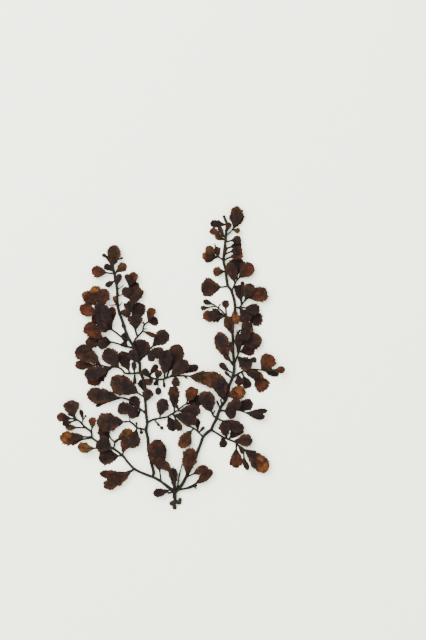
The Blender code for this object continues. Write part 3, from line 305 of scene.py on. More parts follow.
            (-25.2, 36.6, -29, 45, 6.6, "DD", 0.16), (-25.5, 39.6, -22.4, 49.2, 6.6, "DB", 0.16),
            (-26, 44.8, -22.5, 54.6, 6.3, "RA", 0.14), (-26.2, 45.8, -27.2, 53.8, 4.2, "DD"),
        ],
    },
    "right_stem": {
        "parent": "stipe",
        "stems": [
            (1.1, 0.9, [
                (6.3, -80.9), (8.6, -77.2), (11.4, -71.8), (14.8, -64.6), (17.2, -58.6),
                (18.9, -54.4), (20.6, -49.6), (23.2, -46.8), (25.6, -44.8), (27.2, -41.4),
                (29.2, -37.6), (30.6, -33.6), (32, -30.4), (34.8, -26.4), (36.1, -22), (37.2, -17),
                (38.8, -13), (40.1, -8), (40.2, -3.4), (39.7, 3), (39.4, 12), (39.1, 20),
                (39.3, 26.4), (40.7, 31), (40.3, 36.8), (38.4, 43), (36.3, 46), (35.4, 50.4),
                (34.8, 55.8), (33.5, 61.8), (33.9, 66.8), (34.7, 74.2), (35.2, 79.6), (35.6, 84.6),
                (34.9, 87.2), (34.1, 88.8),
            ]),
            (0.51, 0.43, [(35.1, 77.6), (37.2, 79.4), (39.6, 81.8)]),
        ],
        "leaves": [
            (8.8, -76.9, 12.6, -56, 9.8, "KK", 0.22, -0.04), (9.8, -75, 23.7, -68, 5.6, "BK", 0.35),
            (29.2, -37.4, 46.4, -44.4, 7.2, "DK", 0.2, -0.03),
            (34, -27.4, 29.6, -11.4, 9.6, "DD", 0.1), (36.9, -16.2, 22.2, -11.8, 11.2, "DA", 0.08),
            (35.6, -23.8, 47.3, -19.8, 9.2, "RA", 0.06), (31.4, -31.6, 29.2, -26.2, 1.5, "DD"),
            (32.6, -29.6, 31.6, -24.8, 1.4, "DD"), (40.1, -5, 31.2, 16.8, 9.6, "KD", 0.28, 0.08),
            (39.8, 1.6, 37.6, 11, 3.3, "DD"), (39.8, -9, 31.6, -2.4, 4.2, "DD", 0.3, 0.1),
            (40.2, -3.6, 33.5, 2.8, 3.3, "BB", 0.3), (38.9, -12.6, 34, -7.8, 1.9, "DD"),
            (39.3, 14.8, 36, 27, 6.6, "BB", 0.1, 0.03), (39.2, 17.6, 33.8, 22.4, 3.3, "OO"),
            (36.6, 45.8, 19.2, 45.6, 11.6, "KD", 0.28, 0.03),
            (34.9, 55, 26.7, 55.2, 5.7, "BR", 0.16), (33.6, 62.6, 34.9, 71, 2.7, "KK"),
            (34.7, 73.6, 44.8, 75.2, 5.6, "DB", 0.38, 0.03),
            (34.2, 69.2, 44.9, 72.2, 5.4, "DB", 0.38, 0.03),
            (33.9, 65.8, 45.4, 69, 5.6, "DR", 0.38, 0.03),
            (33.6, 62, 46, 65.8, 6, "RR", 0.38, 0.05),
            (39.4, 81.6, 41.3, 96.2, 8.1, "BR", 0.16, -0.08),
            (39.3, 81.5, 42.3, 93.4, 9.3, "KB", 0.14, -0.06),
            (39.4, 81.6, 44, 80.4, 3.7, "OA", 0.14), (35.6, 84.8, 25.1, 85.6, 5.2, "DD", 0.14),
            (34.9, 76.6, 25.1, 82, 5.1, "RR", 0.36, 0.05), (34.8, 75, 28.1, 77.4, 3.4, "OA"),
            (34.9, 76, 31, 83.9, 3.5, "BB", 0.2, 0.08), (35.2, 79.4, 37.3, 86, 3.8, "KD"),
            (40.7, 31, 41.7, 21.9, 6, "AA", 0.08),
        ],
        "bladders": [((33.9, 89.7), (0.95, 1.1, 0.9))],
    },
    "right_shoot_1": {
        "parent": "right_stem",
        "stems": [
            (0.69, 0.51, [(20.5, -49.8), (18.4, -47.2), (15.6, -44.6), (13, -43.2), (10.2, -42.4)]),
        ],
        "leaves": [
            (14.8, -44.2, 7.5, -56.6, 8.4, "BR", 0.14, -0.08),
            (17.4, -46.3, 16.9, -37.9, 3.8, "DD"), (18, -46.8, 21.6, -42.8, 2.2, "DD"),
        ],
    },
    "right_shoot_2": {
        "parent": "right_stem",
        "stems": [
            (0.75, 0.55, [
                (25.5, -44.9), (29.4, -47.2), (32.4, -49.1), (36.2, -50.9), (40.3, -52.5),
                (43.4, -55.1), (47.2, -57.7),
            ]),
        ],
        "leaves": [
            (46.6, -57.3, 60.7, -71.3, 10.6, "DA", 0.04, 0.05),
            (36.6, -51.1, 44.4, -41.2, 8.8, "DD", 0.14, -0.05),
            (35.6, -50.6, 33.5, -39.5, 7.4, "DD", 0.12),
            (32.4, -49.1, 34.2, -56.5, 5.4, "DD", 0.16), (39.8, -52.3, 51.9, -51, 8, "KD", 0.06),
            (41.6, -53.6, 41.4, -69.5, 8.3, "KR", 0.24),
            (46.4, -57.2, 49.2, -70.3, 3.6, "DD", 0.36, -0.08),
            (42.8, -54.6, 45.8, -59.8, 2.6, "DD"),
        ],
    },
    "right_shoot_3": {
        "parent": "right_stem",
        "stems": [
            (0.75, 0.51, [(30.8, -33.2), (35, -32.8), (40, -32.4), (44, -32.8), (49, -34.8)]),
        ],
        "leaves": [
            (34.4, -32.9, 44.6, -27.4, 7.6, "DB", 0.08, 0.05),
            (41, -32.5, 52.5, -28.6, 7.8, "DD", 0.06, 0.04),
            (33.8, -32.9, 41.2, -35.6, 7, "DD", 0.08), (47.4, -34.1, 61.6, -32.8, 3.6, "DD", 0.16),
            (47.6, -34.2, 59.6, -37.2, 4.9, "DD", 0.1),
        ],
    },
    "right_shoot_4": {
        "parent": "right_stem",
        "stems": [
            (0.72, 0.61, [(29.2, -37.6), (27, -36), (26.2, -34)]),
        ],
        "leaves": [
            (26.3, -34.4, 21.4, -20.2, 10.5, "DD", 0.06, 0.02),
            (26.7, -35.4, 28.2, -32.4, 1.2, "DD"),
        ],
    },
    "right_shoot_5": {
        "parent": "right_stem",
        "stems": [
            (0.75, 0.51, [
                (38.9, -12.6), (41.8, -10.2), (45.8, -7.9), (50.4, -6.9), (55, -6.9), (59.6, -7.4),
            ]),
        ],
        "leaves": [
            (57.4, -7.1, 64.4, 1.8, 10.8, "RR", 0.06), (58.6, -7.3, 68.8, -10, 5.4, "DD", 0.1),
            (59.2, -7.3, 72.3, -7, 5, "RR", 0.5), (50.8, -6.9, 60.4, -20.1, 9.5, "KR", 0.28),
            (53.8, -6.9, 58.4, -12.5, 3.4, "BA"), (45, -8.3, 49.6, -18.9, 5.8, "DD", 0.28),
            (42.4, -9.8, 44.2, -16.6, 5.9, "DD", 0.1), (46.6, -7.7, 55.8, -11.4, 5.7, "DD", 0.1),
        ],
    },
    "right_shoot_6": {
        "parent": "right_stem",
        "stems": [
            (0.75, 0.51, [(40.2, -3.2), (42.2, 1.4), (43.6, 5.4), (45, 9.4), (45.8, 13)]),
            (0.45, 0.38, [(42.6, 2.6), (41.8, 8), (41.8, 14), (42.2, 18.2)]),
        ],
        "leaves": [
            (44.6, 8.4, 57.7, 11.6, 11, "DB", 0.1, 0.05), (43.2, 4.2, 53.1, 6, 8, "KK", 0.14),
            (45.4, 11.4, 49.9, 23.2, 8.6, "DD", 0.1), (42, 0.9, 50.8, -5.8, 9.2, "DD", 0.12),
            (42.2, 1.3, 54.5, -0.8, 3.8, "DD", 0.6, -0.03), (41.8, 14.4, 44.2, 18.4, 1.4, "DD"),
            (41.9, 4.6, 43.2, 16, 4.8, "DB", 0.1), (44.6, 8.6, 48, 17.2, 7.2, "DD", 0.1),
        ],
    },
    "right_shoot_7": {
        "parent": "right_stem",
        "stems": [
            (0.68, 0.49, [(39.3, 26.2), (35.4, 26.5), (33.2, 29.3), (30, 32.2), (27.2, 34.3)]),
            (0.45, 0.4, [(28.8, 33), (26.2, 32.9), (23.8, 32.2)]),
        ],
        "leaves": [
            (27.4, 34.1, 20.6, 36.6, 3.5, "DD"), (35.3, 26.6, 34.7, 36.9, 5, "BB", 0.5),
            (24.2, 32.3, 19, 31.8, 3.3, "BB"), (35, 26.9, 25.1, 27.5, 8.9, "DD", 0.14),
            (35.5, 26.5, 20.3, 26.9, 7.4, "KR", 0.3), (30.2, 32, 31.7, 34.8, 1.1, "DD"),
        ],
    },
    "right_shoot_8": {
        "parent": "right_stem",
        "stems": [
            (0.69, 0.51, [(40.6, 32.4), (43.4, 32.4), (45.1, 34.4), (47.7, 37.3), (50, 38.6)]),
        ],
        "leaves": [
            (49.4, 38.3, 60.8, 43, 10.4, "RK", 0.06, -0.05),
            (44.8, 34.2, 42.7, 46.8, 6.2, "DD", 0.22), (45, 34.4, 45.5, 49, 2.9, "DD", 0.72),
            (46.4, 36, 51.1, 47.5, 8, "DB"), (43.6, 32.5, 56.6, 30.9, 8, "DD", 0.3),
            (43.4, 32.4, 58.6, 23.6, 8.4, "DD", 0.34, -0.06),
            (43.2, 32.3, 49.8, 23.6, 8.2, "DD", 0.14),
        ],
    },
    "right_shoot_9": {
        "parent": "right_stem",
        "stems": [
            (0.69, 0.51, [(38.6, 42.6), (40.8, 47.4), (41.8, 49.2), (43.6, 51.3)]),
        ],
        "leaves": [
            (43.3, 51, 52.1, 59.3, 9.5, "KR", 0.06), (42.2, 49.7, 41.2, 63.8, 9.6, "DD", 0.22),
            (40.8, 47.4, 37.4, 60.8, 7.4, "KK", 0.12),
        ],
    },
    "right_shoot_10": {
        "parent": "right_stem",
        "stems": [
            (0.66, 0.49, [(33.6, 61.4), (32.4, 62.9), (30.4, 64.2), (28, 64.7)]),
        ],
        "leaves": [
            (28.5, 64.4, 19.9, 65, 5.3, "RA", 0.1), (29.8, 64.3, 21.7, 61.8, 3.9, "RR"),
            (28.3, 64.6, 22.8, 70.4, 5.5, "OA", 0.1), (30, 64.1, 29.3, 71, 4.4, "OO", 0.1),
            (30.6, 64.1, 27.8, 72.8, 1.3, "DD", 0.3),
        ],
    },
}
print("shoots:", len(SHOOTS), " leaves:", sum(len(shoot["leaves"]) for shoot in SHOOTS.values()))

# %% [markdown]
# ## How the leaves settle in the press
# Under a press, leaves that cross slide over or under each other until each finds room. The rule
# below does the same: it takes the leaves in turn, alternately from below and from above the
# stems, and gives each the lowest height where it is clear of what lies there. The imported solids
# were laid by this rule too, so the fine leaves lie exactly where the solid ones do. A physics
# simulation could press them, but it would move them.

# %% Sizes of the layers and blades, in millimetres
STEM_Z = 2.0
UNDER_Z = 0.3
FIRST_OVER_Z = 3.7
LAYER_STEP = 0.35
LAYERS_OVER = 12
SOLID_THICKNESS = 0.6
BLADE_WAVE = 0.1
WAVES = 7.0
STALK_WIDTH = 1.2
STALK_SHARE = 0.2
ROOT_LIFT = 0.12
NECK_START = 0.3
NECK_LENGTH = 2.4
NECK_PER_RISE = 1.2
NECK_SHARE = 0.42
WIDEST = 0.6
FULLNESS = 0.66
TOOTH = 0.055
JOINT_GAP = 0.35
TRIM_STEP = 0.05
LAYING_CELL = 0.5
LAYING_MARGIN = 0.2
LAYING_GAP = 0.28
OUT_OF_STEM = 1.2
OWN_CLASHES_ALLOWED = 2
SETTLED = 0.5
SEED = 7


# %% Stems in plan
def nearest_on_path(place, path):
    """The point of a plan path that is nearest to a place, and its distance."""
    best = None
    for start, end in zip(path, path[1:]):
        start, end, at = Vector(start), Vector(end), Vector(place)
        along = end - start
        share = max(0.0, min(1.0, (at - start).dot(along) / along.length_squared))
        point = start + along * share
        distance = (at - point).length
        if best is None or distance < best[1]:
            best = (point, distance)
    return best


def nearest_on_stems(place, stems):
    """The nearest point of several stems' paths, and its distance."""
    return min((nearest_on_path(place, stem[2]) for stem in stems), key=lambda found: found[1])


def clear_start(stem, parent_stems):
    """A stem's path, drawn back until its start is clear of the stems that it grows from."""
    first, last, path = stem
    points = [Vector(point) for point in path]
    while len(points) > 2 or (points[1] - points[0]).length > TRIM_STEP:
        along = (points[1] - points[0]).normalized()
        side = Vector((-along.y, along.x)) * first
        room = min(
            nearest_on_stems(corner, [other])[1] - max(other[0], other[1])
            for corner in (points[0] + side, points[0] - side)
            for other in parent_stems
        )
        if room >= JOINT_GAP:
            break
        if (points[1] - points[0]).length <= TRIM_STEP:
            points.pop(0)
        else:
            points[0] = points[0] + along * TRIM_STEP
    return (first, last, points)


# %% A leaf in plan and in height
class Leaf:
    """A leaf as laid out: its middle line, its half width, and its height once it is laid."""

    def __init__(self, foot, tip, width, tones, stalk=STALK_SHARE, bow=0.0):
        self.foot = Vector(foot)
        self.width, self.tones, self.stalk, self.bow = width, tones, stalk, bow
        self.along = Vector(tip) - self.foot
        self.length = self.along.length
        self.left = Vector((-self.along.y, self.along.x)).normalized()

    def middle(self, share):
        """The middle line at a share of the leaf's length."""
        lift = 4.0 * self.bow * self.length * share * (1.0 - share)
        return self.foot + self.along * share + self.left * lift

    def across(self, share):
        """The direction to the left of the middle line."""
        lift = 4.0 * self.bow * self.length * (1.0 - 2.0 * share)
        slope = self.along + self.left * lift
        return Vector((-slope.y, slope.x)).normalized()

    def past_stalk(self, share):
        """How far along the blade a share of the length is: 0 on the stalk, 1 at the tip."""
        return max(0.0, (share - self.stalk) / (1.0 - self.stalk))

    def half_width(self, share):
        """Half the blade's width: a narrow stalk, then a wedge that swells to a rounded end."""
        narrow = STALK_WIDTH / 2.0
        if share <= self.stalk:
            return narrow
        past = self.past_stalk(share)
        turn = math.pi * past ** (math.log(0.5) / math.log(WIDEST))
        swell = max(0.0, math.sin(turn)) ** FULLNESS
        return narrow * (1.0 - past) + (self.width / 2.0 - narrow * (1.0 - past)) * swell

    def height(self, share, side):
        """The height of the blade's middle surface, given how far along and how far to the left."""
        wave = BLADE_WAVE * math.sin(WAVES * share + self.phase) * side
        if self.level == UNDER_Z:
            wave = 0.0
        rise = self.level - STEM_Z
        neck = min(max(NECK_LENGTH, NECK_PER_RISE * abs(rise)), NECK_SHARE * self.length)
        risen = max(0.0, min(1.0, (share * self.length - NECK_START) / neck))
        start = STEM_Z + self.root_lift * (1.0 - risen)
        return start + (rise + wave) * (3.0 - 2.0 * risen) * risen * risen

    def place(self, share, offset):
        """The point of the blade's middle surface at a share of the length, set off to the left."""
        plan = self.middle(share) + self.across(share) * offset
        side = offset / max(self.half_width(share), STALK_WIDTH / 2.0)
        return Vector((plan.x, plan.y, self.height(share, side)))


# %% The bed that the leaves settle on
def squares_near(place, reach):
    """The squares of the bed within reach of a place."""
    low = [math.floor((value - reach) / LAYING_CELL) for value in place]
    high = [math.floor((value + reach) / LAYING_CELL) for value in place]
    return [(x, y) for x in range(low[0], high[0] + 1) for y in range(low[1], high[1] + 1)]


class Bed:
    """What lies where already: for each square of the plan, the heights that shoots fill."""

    def __init__(self):
        self.filled = {}

    def fill(self, shoot, samples):
        """Notes the heights that a piece fills, given (place, reach, low, high) samples."""
        for place, reach, low, high in samples:
            for cell in squares_near(place, reach):
                self.filled.setdefault(cell, []).append((shoot, low, high))

    def clashes(self, samples, counts):
        """How many squares would hold this piece and another that counts, within the laying gap."""
        return sum(
            low - LAYING_GAP < other_high and high + LAYING_GAP > other_low and counts(other)
            for place, reach, low, high in samples
            for cell in squares_near(place, reach)
            for other, other_low, other_high in self.filled.get(cell, ())
        )


def stem_samples(stem):
    """Samples of a stem for the bed."""
    first, last, path = stem
    thick = max(first, last)
    samples = []
    for start, end in zip(path, path[1:]):
        start, end = Vector(start), Vector(end)
        steps = max(1, math.ceil((end - start).length / LAYING_CELL))
        for index in range(steps + 1):
            place = start + (end - start) * index / steps
            samples.append((place, thick + LAYING_MARGIN, STEM_Z - thick, STEM_Z + thick))
    return samples


def leaf_samples(leaf):
    """Samples of a leaf for the bed, from a little way out of its stem."""
    samples = []
    steps = math.ceil(leaf.length / LAYING_CELL)
    for index in range(1, steps + 1):
        share = index / steps
        if share * leaf.length < OUT_OF_STEM:
            continue
        half = leaf.half_width(share) * (1.0 + TOOTH)
        rows = max(1, math.ceil(2.0 * half / LAYING_CELL))
        for row in range(rows + 1):
            spot = leaf.place(share, half * (2.0 * row / rows - 1.0))
            low, high = spot.z - SOLID_THICKNESS / 2.0, spot.z + SOLID_THICKNESS / 2.0
            samples.append((spot.xy, LAYING_MARGIN, low, high))
    return samples


# %% Lay every leaf
def lay_leaf(leaf, shoot, bed, under_first):
    """Lays a leaf as low as it clears what lies there, the pieces of other shoots above all."""
    overs = [FIRST_OVER_Z + LAYER_STEP * index for index in range(LAYERS_OVER)]
    best = None
    for order, height in enumerate([UNDER_Z] + overs if under_first else overs + [UNDER_Z]):
        leaf.level = height
        samples = leaf_samples(leaf)
        settled = [spot for spot in samples if abs(spot[2] + spot[3] - 2.0 * height) < SETTLED]
        foreign = bed.clashes(samples, lambda other: other != shoot)
        own = 0 if foreign else bed.clashes(settled, lambda other: other == shoot)
        rank = (foreign, max(0, own - OWN_CLASHES_ALLOWED), order)
        if best is None or rank < best[0]:
            best = (rank, height, samples)
        if rank[:2] == (0, 0):
            break
    leaf.level = best[1]
    bed.fill(shoot, best[2])


def lay_out():
    """Lays the leaves of every shoot and returns them by shoot."""
    draw = random.Random(SEED)
    bed = Bed()
    stems_of, laid = {}, {}
    for name, shoot in SHOOTS.items():
        stems = [
            (first, last, [Vector(point) for point in path]) for first, last, path in shoot["stems"]
        ]
        if "parent" in shoot:
            stems[0] = clear_start(shoot["stems"][0], stems_of[shoot["parent"]])
        stems_of[name] = stems
        for stem in stems:
            bed.fill(name, stem_samples(stem))
    for name, shoot in SHOOTS.items():
        for place, half_axes in shoot.get("bladders", []):
            reach = max(half_axes[0], half_axes[1]) + LAYING_MARGIN
            bed.fill(name, [(place, reach, STEM_Z - half_axes[2], STEM_Z + half_axes[2])])
    for name, shoot in SHOOTS.items():
        laid[name] = []
        for index, (foot_x, foot_y, tip_x, tip_y, *shape) in enumerate(shoot["leaves"]):
            foot = nearest_on_stems((foot_x, foot_y), stems_of[name])[0]
            leaf = Leaf(foot, (tip_x, tip_y), *shape)
            leaf.phase = draw.uniform(0.0, 2.0 * math.pi)
            leaf.root_lift = draw.uniform(-ROOT_LIFT, ROOT_LIFT)
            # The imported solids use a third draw, for how deep a foot goes, so one is made here.
            draw.random()
            lay_leaf(leaf, name, bed, index % 2 == 1)
            laid[name].append(leaf)
    return laid


leaves_of = lay_out()
heights = sorted({leaf.level for leaves in leaves_of.values() for leaf in leaves})
print("leaves lie at", len(heights), "heights, mm:", [round(height, 2) for height in heights])

# %% [markdown]
# ## How many blades lie over each other
# A single dried blade lets some light through and looks rusty or amber. Where two or more lie over
# each other they look nearly black. A real light could work that out through thin, see-through
# blades, but that is slow and noisy. Counting the blades over each small square of the plan, and
# blurring the count a little, gives the same look as a number at each point, which a material can
# read.

# %% Count the blades
COVER_CELL = 0.4
COVER_STEP = 0.5 * COVER_CELL
COVER_ORIGIN = (-80.0, -105.0)
COVER_SIZE = (400, 520)


def cover_index(x, y):
    """The square that a place in plan falls in."""
    column = int((x - COVER_ORIGIN[0]) / COVER_CELL)
    row = int((y - COVER_ORIGIN[1]) / COVER_CELL)
    return column, row


def count_blades():
    """How many blades cover each square of the plan, blurred by one square each way."""
    count = np.zeros(COVER_SIZE)
    for leaves in leaves_of.values():
        for leaf in leaves:
            hit = set()
            steps = math.ceil(leaf.length / COVER_STEP)
            for index in range(steps + 1):
                share = leaf.stalk + (1.0 - leaf.stalk) * index / steps
                half = leaf.half_width(share)
                rows = max(1, math.ceil(2.0 * half / COVER_STEP))
                for row in range(rows + 1):
                    spot = leaf.place(share, half * (2.0 * row / rows - 1.0))
                    hit.add(cover_index(spot.x, spot.y))
            for cell in hit:
                count[cell] += 1.0
    shifts = [(x, y) for x in (-1, 0, 1) for y in (-1, 0, 1)]
    return sum(np.roll(count, shift, (0, 1)) for shift in shifts) / len(shifts)


cover = count_blades()
print("most blades over one place:", int(cover.max()))

# %% [markdown]
# ## The colours of dried seaweed
# Fresh sargassum is olive. Dried, its thick blades turn nearly black, thin young ones go rust or
# amber, and the stems are the darkest. Each leaf blends from one tone at its base to another at
# its tip. The tones are kept as colours at the points of the mesh, so that one material serves
# every leaf. The hex values were judged.


# %% Tones
def linear(hex_colour):
    """An sRGB hex colour as linear RGB with an alpha of one."""
    parts = [int(hex_colour[start:start + 2], 16) / 255.0 for start in (1, 3, 5)]
    bent = [
        part / 12.92 if part <= 0.04045 else ((part + 0.055) / 1.055) ** 2.4 for part in parts
    ]
    return (*bent, 1.0)


TONES = {
    "D": linear("#160f0e"),
    "B": linear("#21150e"),
    "K": linear("#26140e"),
    "R": linear("#34190e"),
    "A": linear("#4c2a12"),
    "O": linear("#3a2813"),
}
STEM_TONE = linear("#100d0b")
print("tones:", ", ".join(TONES))

# %% [markdown]
# ## Gathering a shoot
# A shoot is made in two steps. First plain code lays down its skeleton: a bare line for every stem
# and midrib and a smooth closed lens for every blade, each point with values such as its distance
# from the midrib. Then Geometry Nodes give the lines their thickness and the lenses their teeth,
# waves and pores. Code is better at placing, nodes are better at surfaces.


# %% Two helpers for objects
def put_in_scene(name, data):
    """A new object with this data, linked into the scene."""
    made = bpy.data.objects.new(name, data)
    bpy.context.scene.collection.objects.link(made)
    return made


def as_plain_mesh(bare):
    """What an object's modifiers make of it, as a plain mesh. The object itself goes."""
    bpy.context.view_layer.update()
    graph = bpy.context.evaluated_depsgraph_get()
    mesh = bpy.data.meshes.new_from_object(bare.evaluated_get(graph))
    bpy.data.objects.remove(bare)
    return mesh


# %% The skeleton of a shoot
VALUES = dict.fromkeys(
    ("axis", "thick", "past", "reach", "run", "phase", "toothed", "cover"), 0.0)
COLOURS = dict.fromkeys(("base_tone", "tip_tone"), TONES["D"])


class Skeleton:
    """The points, edges and faces of one shoot, with the values that its nodes and finish read."""

    def __init__(self):
        self.points, self.edges, self.faces, self.outward = [], [], [], []
        self.values = {name: [] for name in VALUES}
        self.colours = {name: [] for name in COLOURS}

    def add_point(self, place, outward=(0.0, 0.0, 0.0), **given):
        """Adds a point, in millimetres, and returns its number."""
        self.points.append(Vector(place) * MM)
        self.outward.append(outward)
        for name, usual in VALUES.items():
            self.values[name].append(given.get(name, usual))
        for name, usual in COLOURS.items():
            self.colours[name].append(given.get(name, usual))
        return len(self.points) - 1

    def as_object(self, name):
        """The skeleton as a mesh object with its values as attributes."""
        mesh = bpy.data.meshes.new(name)
        mesh.from_pydata(self.points, self.edges, self.faces)
        for key, numbers in self.values.items():
            mesh.attributes.new(key, "FLOAT", "POINT").data.foreach_set("value", numbers)
        outward = mesh.attributes.new("outward", "FLOAT_VECTOR", "POINT")
        outward.data.foreach_set("vector", np.array(self.outward, np.float32).ravel())
        for key, colours in self.colours.items():
            layer = mesh.attributes.new(key, "FLOAT_COLOR", "POINT")
            layer.data.foreach_set("color", np.array(colours, np.float32).ravel())
        return put_in_scene(name, mesh)


# %% [markdown]
# ### Stems
# A stem is a line of points with a radius at each, thick at its base and thin at its tip. It
# starts on the middle line of the stem that it grows from, so the joint is closed. The two big
# branches start inside the fork of the stipe. Nodes will turn the line into a wrinkled tube.

# %% Stem lines
IN_THE_FORK = {"left_branch": (-1.4, -81.1), "right_stem": (4.7, -82.9)}


def add_line(skeleton, places, radii):
    """Adds a line of points with radii, for the nodes to turn into a tube."""
    numbers = [
        skeleton.add_point(place, axis=1.0, thick=radius * MM)
        for place, radius in zip(places, radii)
    ]
    skeleton.edges.extend(zip(numbers, numbers[1:]))


def add_stems(skeleton, name, stems):
    """Adds a shoot's stems."""
    for index, (first, last, path) in enumerate(stems):
        if index == 0 and name in IN_THE_FORK:
            path = [IN_THE_FORK[name]] + path
        places = [(x, y, STEM_Z) for x, y in path]
        radii = [first + (last - first) * step / (len(path) - 1) for step in range(len(path))]
        add_line(skeleton, places, radii)


# %% [markdown]
# ### Leaves
# A sargassum leaf has a short stalk that runs on as a midrib and fades before the tip. The blade
# is thickest at the rib and thin at its edge, so its cross-section is a flat lens. The blade is
# lofted: one ring of points after another, close together near the tip where the outline turns
# fast, and closed at the end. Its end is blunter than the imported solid's, as worn blades are.
# Small leaves have smaller teeth. The midrib is a line that sinks into the blade as it thins.

# %% A blade
# Lengths and thicknesses are in millimetres. The rest are shares, powers and numbers of points.
ROW_STEP = 0.3
FEWEST_ROWS = 10
RING_HALF = 10
TIP_CROWDING = 1.35
BLADE_HALF_THICKNESS = 0.16
EDGE_HALF_THICKNESS = 0.06
BLADE_STARTS = 0.8
SMALL_LEAF = 4.0
FULL_TEETH = 8.0
UNDER_DROP = 0.1
UNDER_EASE = 0.1
SLOPE_STEP = 0.004
TEETH_GROW = 4.0
RIM_POWER = 5
END_POWER = 10
END_EASE = 0.4
BLUNTER = 0.15


def leaf_place(leaf, share, offset):
    """A place on the fine blade: as the solid's, a little lower where it lies on the floor."""
    place = leaf.place(share, offset)
    if leaf.level == UNDER_Z:
        place.z -= UNDER_DROP * min(1.0, share / max(leaf.stalk, UNDER_EASE))
    return place


def blunt_half_width(leaf, share):
    """Half the fine blade's width: as the solid's, but with a blunter end."""
    left = min(1.0, (1.0 - leaf.past_stalk(share)) / (1.0 - WIDEST))
    return leaf.half_width(share) * left ** -BLUNTER if left > 0.0 else 0.0


def outward_at(leaf, share, side):
    """The way out of the blade at a point: sideways along its length, and forward round its end."""
    before = blunt_half_width(leaf, share - SLOPE_STEP)
    after = blunt_half_width(leaf, min(1.0, share + SLOPE_STEP))
    closing = max(0.0, (before - after) / (2.0 * SLOPE_STEP * leaf.length))
    across = leaf.across(share)
    forward = Vector((across.y, -across.x))
    way = across * side + forward * closing / math.sqrt(1.0 + closing * closing)
    return (way.x, way.y, 0.0)


def run_at(leaf, share, across):
    """The way along the rim, for the teeth: up to the widest place, then on round the end."""
    widest = leaf.stalk + (1.0 - leaf.stalk) * WIDEST
    if share <= widest:
        return share * leaf.length
    ahead = (share - widest) * leaf.length
    radius = (leaf.width / 2.0 + (1.0 - widest) * leaf.length) / 2.0
    return widest * leaf.length + math.atan2(ahead, across) * radius


def add_blade(skeleton, leaf):
    """Adds a leaf's blade as a lofted lens."""
    start = leaf.stalk * BLADE_STARTS
    rows = max(FEWEST_ROWS, math.ceil(leaf.length * (1.0 - start) / ROW_STEP))
    around = 2 * RING_HALF
    large = min(1.0, leaf.width / FULL_TEETH)
    base_tone, tip_tone = (TONES[letter] for letter in leaf.tones)
    shared = {"phase": leaf.phase, "base_tone": base_tone, "tip_tone": tip_tone}
    rings = []
    for row in range(rows):
        share = start + (1.0 - start) * (1.0 - (1.0 - row / rows) ** TIP_CROWDING)
        past = leaf.past_stalk(share)
        half = blunt_half_width(leaf, share)
        ring = []
        for step in range(around):
            turn = step if step <= RING_HALF else around - step
            side = math.sin(math.pi * (turn / RING_HALF - 0.5))
            swell = (BLADE_HALF_THICKNESS - EDGE_HALF_THICKNESS) * (1.0 - side * side)
            upper = 0.0 if step in (0, RING_HALF) else (1.0 if step < RING_HALF else -1.0)
            place = leaf_place(leaf, share, side * half)
            place.z += (EDGE_HALF_THICKNESS + swell) * upper
            at_end = past ** END_POWER
            near_rim = max(abs(side) ** RIM_POWER, at_end) * (1.0 - END_EASE * at_end)
            ring.append(skeleton.add_point(
                place,
                outward=outward_at(leaf, share, side),
                past=past,
                reach=abs(side),
                run=run_at(leaf, share, abs(side) * half) * MM,
                toothed=large * min(1.0, past * TEETH_GROW) * near_rim,
                cover=max(0.0, min(1.0, cover[cover_index(place.x, place.y)] - 1.0)),
                **shared,
            ))
        rings.append(ring)
    tip = skeleton.add_point(
        leaf_place(leaf, 1.0, 0.0),
        outward=outward_at(leaf, 1.0 - SLOPE_STEP, 0.0),
        past=1.0,
        run=run_at(leaf, 1.0, 0.0) * MM,
        toothed=large * (1.0 - END_EASE),
        **shared,
    )
    for near, far in zip(rings, rings[1:]):
        for step in range(around):
            after = (step + 1) % around
            skeleton.faces.append((near[step], near[after], far[after], far[step]))
    for step in range(around):
        skeleton.faces.append((rings[-1][step], rings[-1][(step + 1) % around], tip))
    skeleton.faces.append(tuple(reversed(rings[0])))


# %% A stalk and midrib
RIB_STEPS = 12
RIB_REACHES = 0.78
RIB_FIRST = 0.6
RIB_LAST = 0.1
SMALL_RIB = 0.6


def add_midrib(skeleton, leaf):
    """Adds a leaf's stalk and midrib as a line that thins towards the tip."""
    reach = leaf.stalk + (1.0 - leaf.stalk) * RIB_REACHES
    scale = min(1.0, leaf.width / SMALL_LEAF)
    places, radii = [], []
    for step in range(RIB_STEPS + 1):
        share = reach * step / RIB_STEPS
        left = 1.0 - leaf.past_stalk(share) / RIB_REACHES
        radius = RIB_LAST + (RIB_FIRST - RIB_LAST) * left ** 2
        places.append(leaf_place(leaf, share, 0.0))
        radii.append(radius * (SMALL_RIB + (1.0 - SMALL_RIB) * scale))
    add_line(skeleton, places, radii)


# %% [markdown]
# ### Air bladders
# The little round bladders held the plant up in the water. Dry, they are wrinkled beads, a little
# pointed at the free end. Each is a ball squashed to its own three sizes, with the look of the
# middle of a blade.

# %% Bladders
BLADDER_FINENESS = 4
BLADDER_LOOK = {"past": 0.5, "reach": 0.4}


def add_bladder(skeleton, place, half_axes):
    """Adds a bladder: a ball squashed to its half axes."""
    ball = bmesh.new()
    bmesh.ops.create_icosphere(ball, subdivisions=BLADDER_FINENESS, radius=1.0)
    first = len(skeleton.points)
    middle = Vector((place[0], place[1], STEM_Z))
    for vert in ball.verts:
        spot = middle + Vector(part * half for part, half in zip(vert.co, half_axes))
        skeleton.add_point(spot, **BLADDER_LOOK)
    for face in ball.faces:
        skeleton.faces.append(tuple(first + vert.index for vert in face.verts))
    ball.free()


# %% [markdown]
# ## The surface nodes
# One Geometry Nodes tree finishes every shoot. It parts the skeleton into lines and blades. The
# lines become tubes with dry wrinkles. The blades get teeth that point to the tip, the shallow
# waves of a drying leaf, and small raised pores. All sizes are named inputs, so that the same tree
# would serve a plant with other teeth.


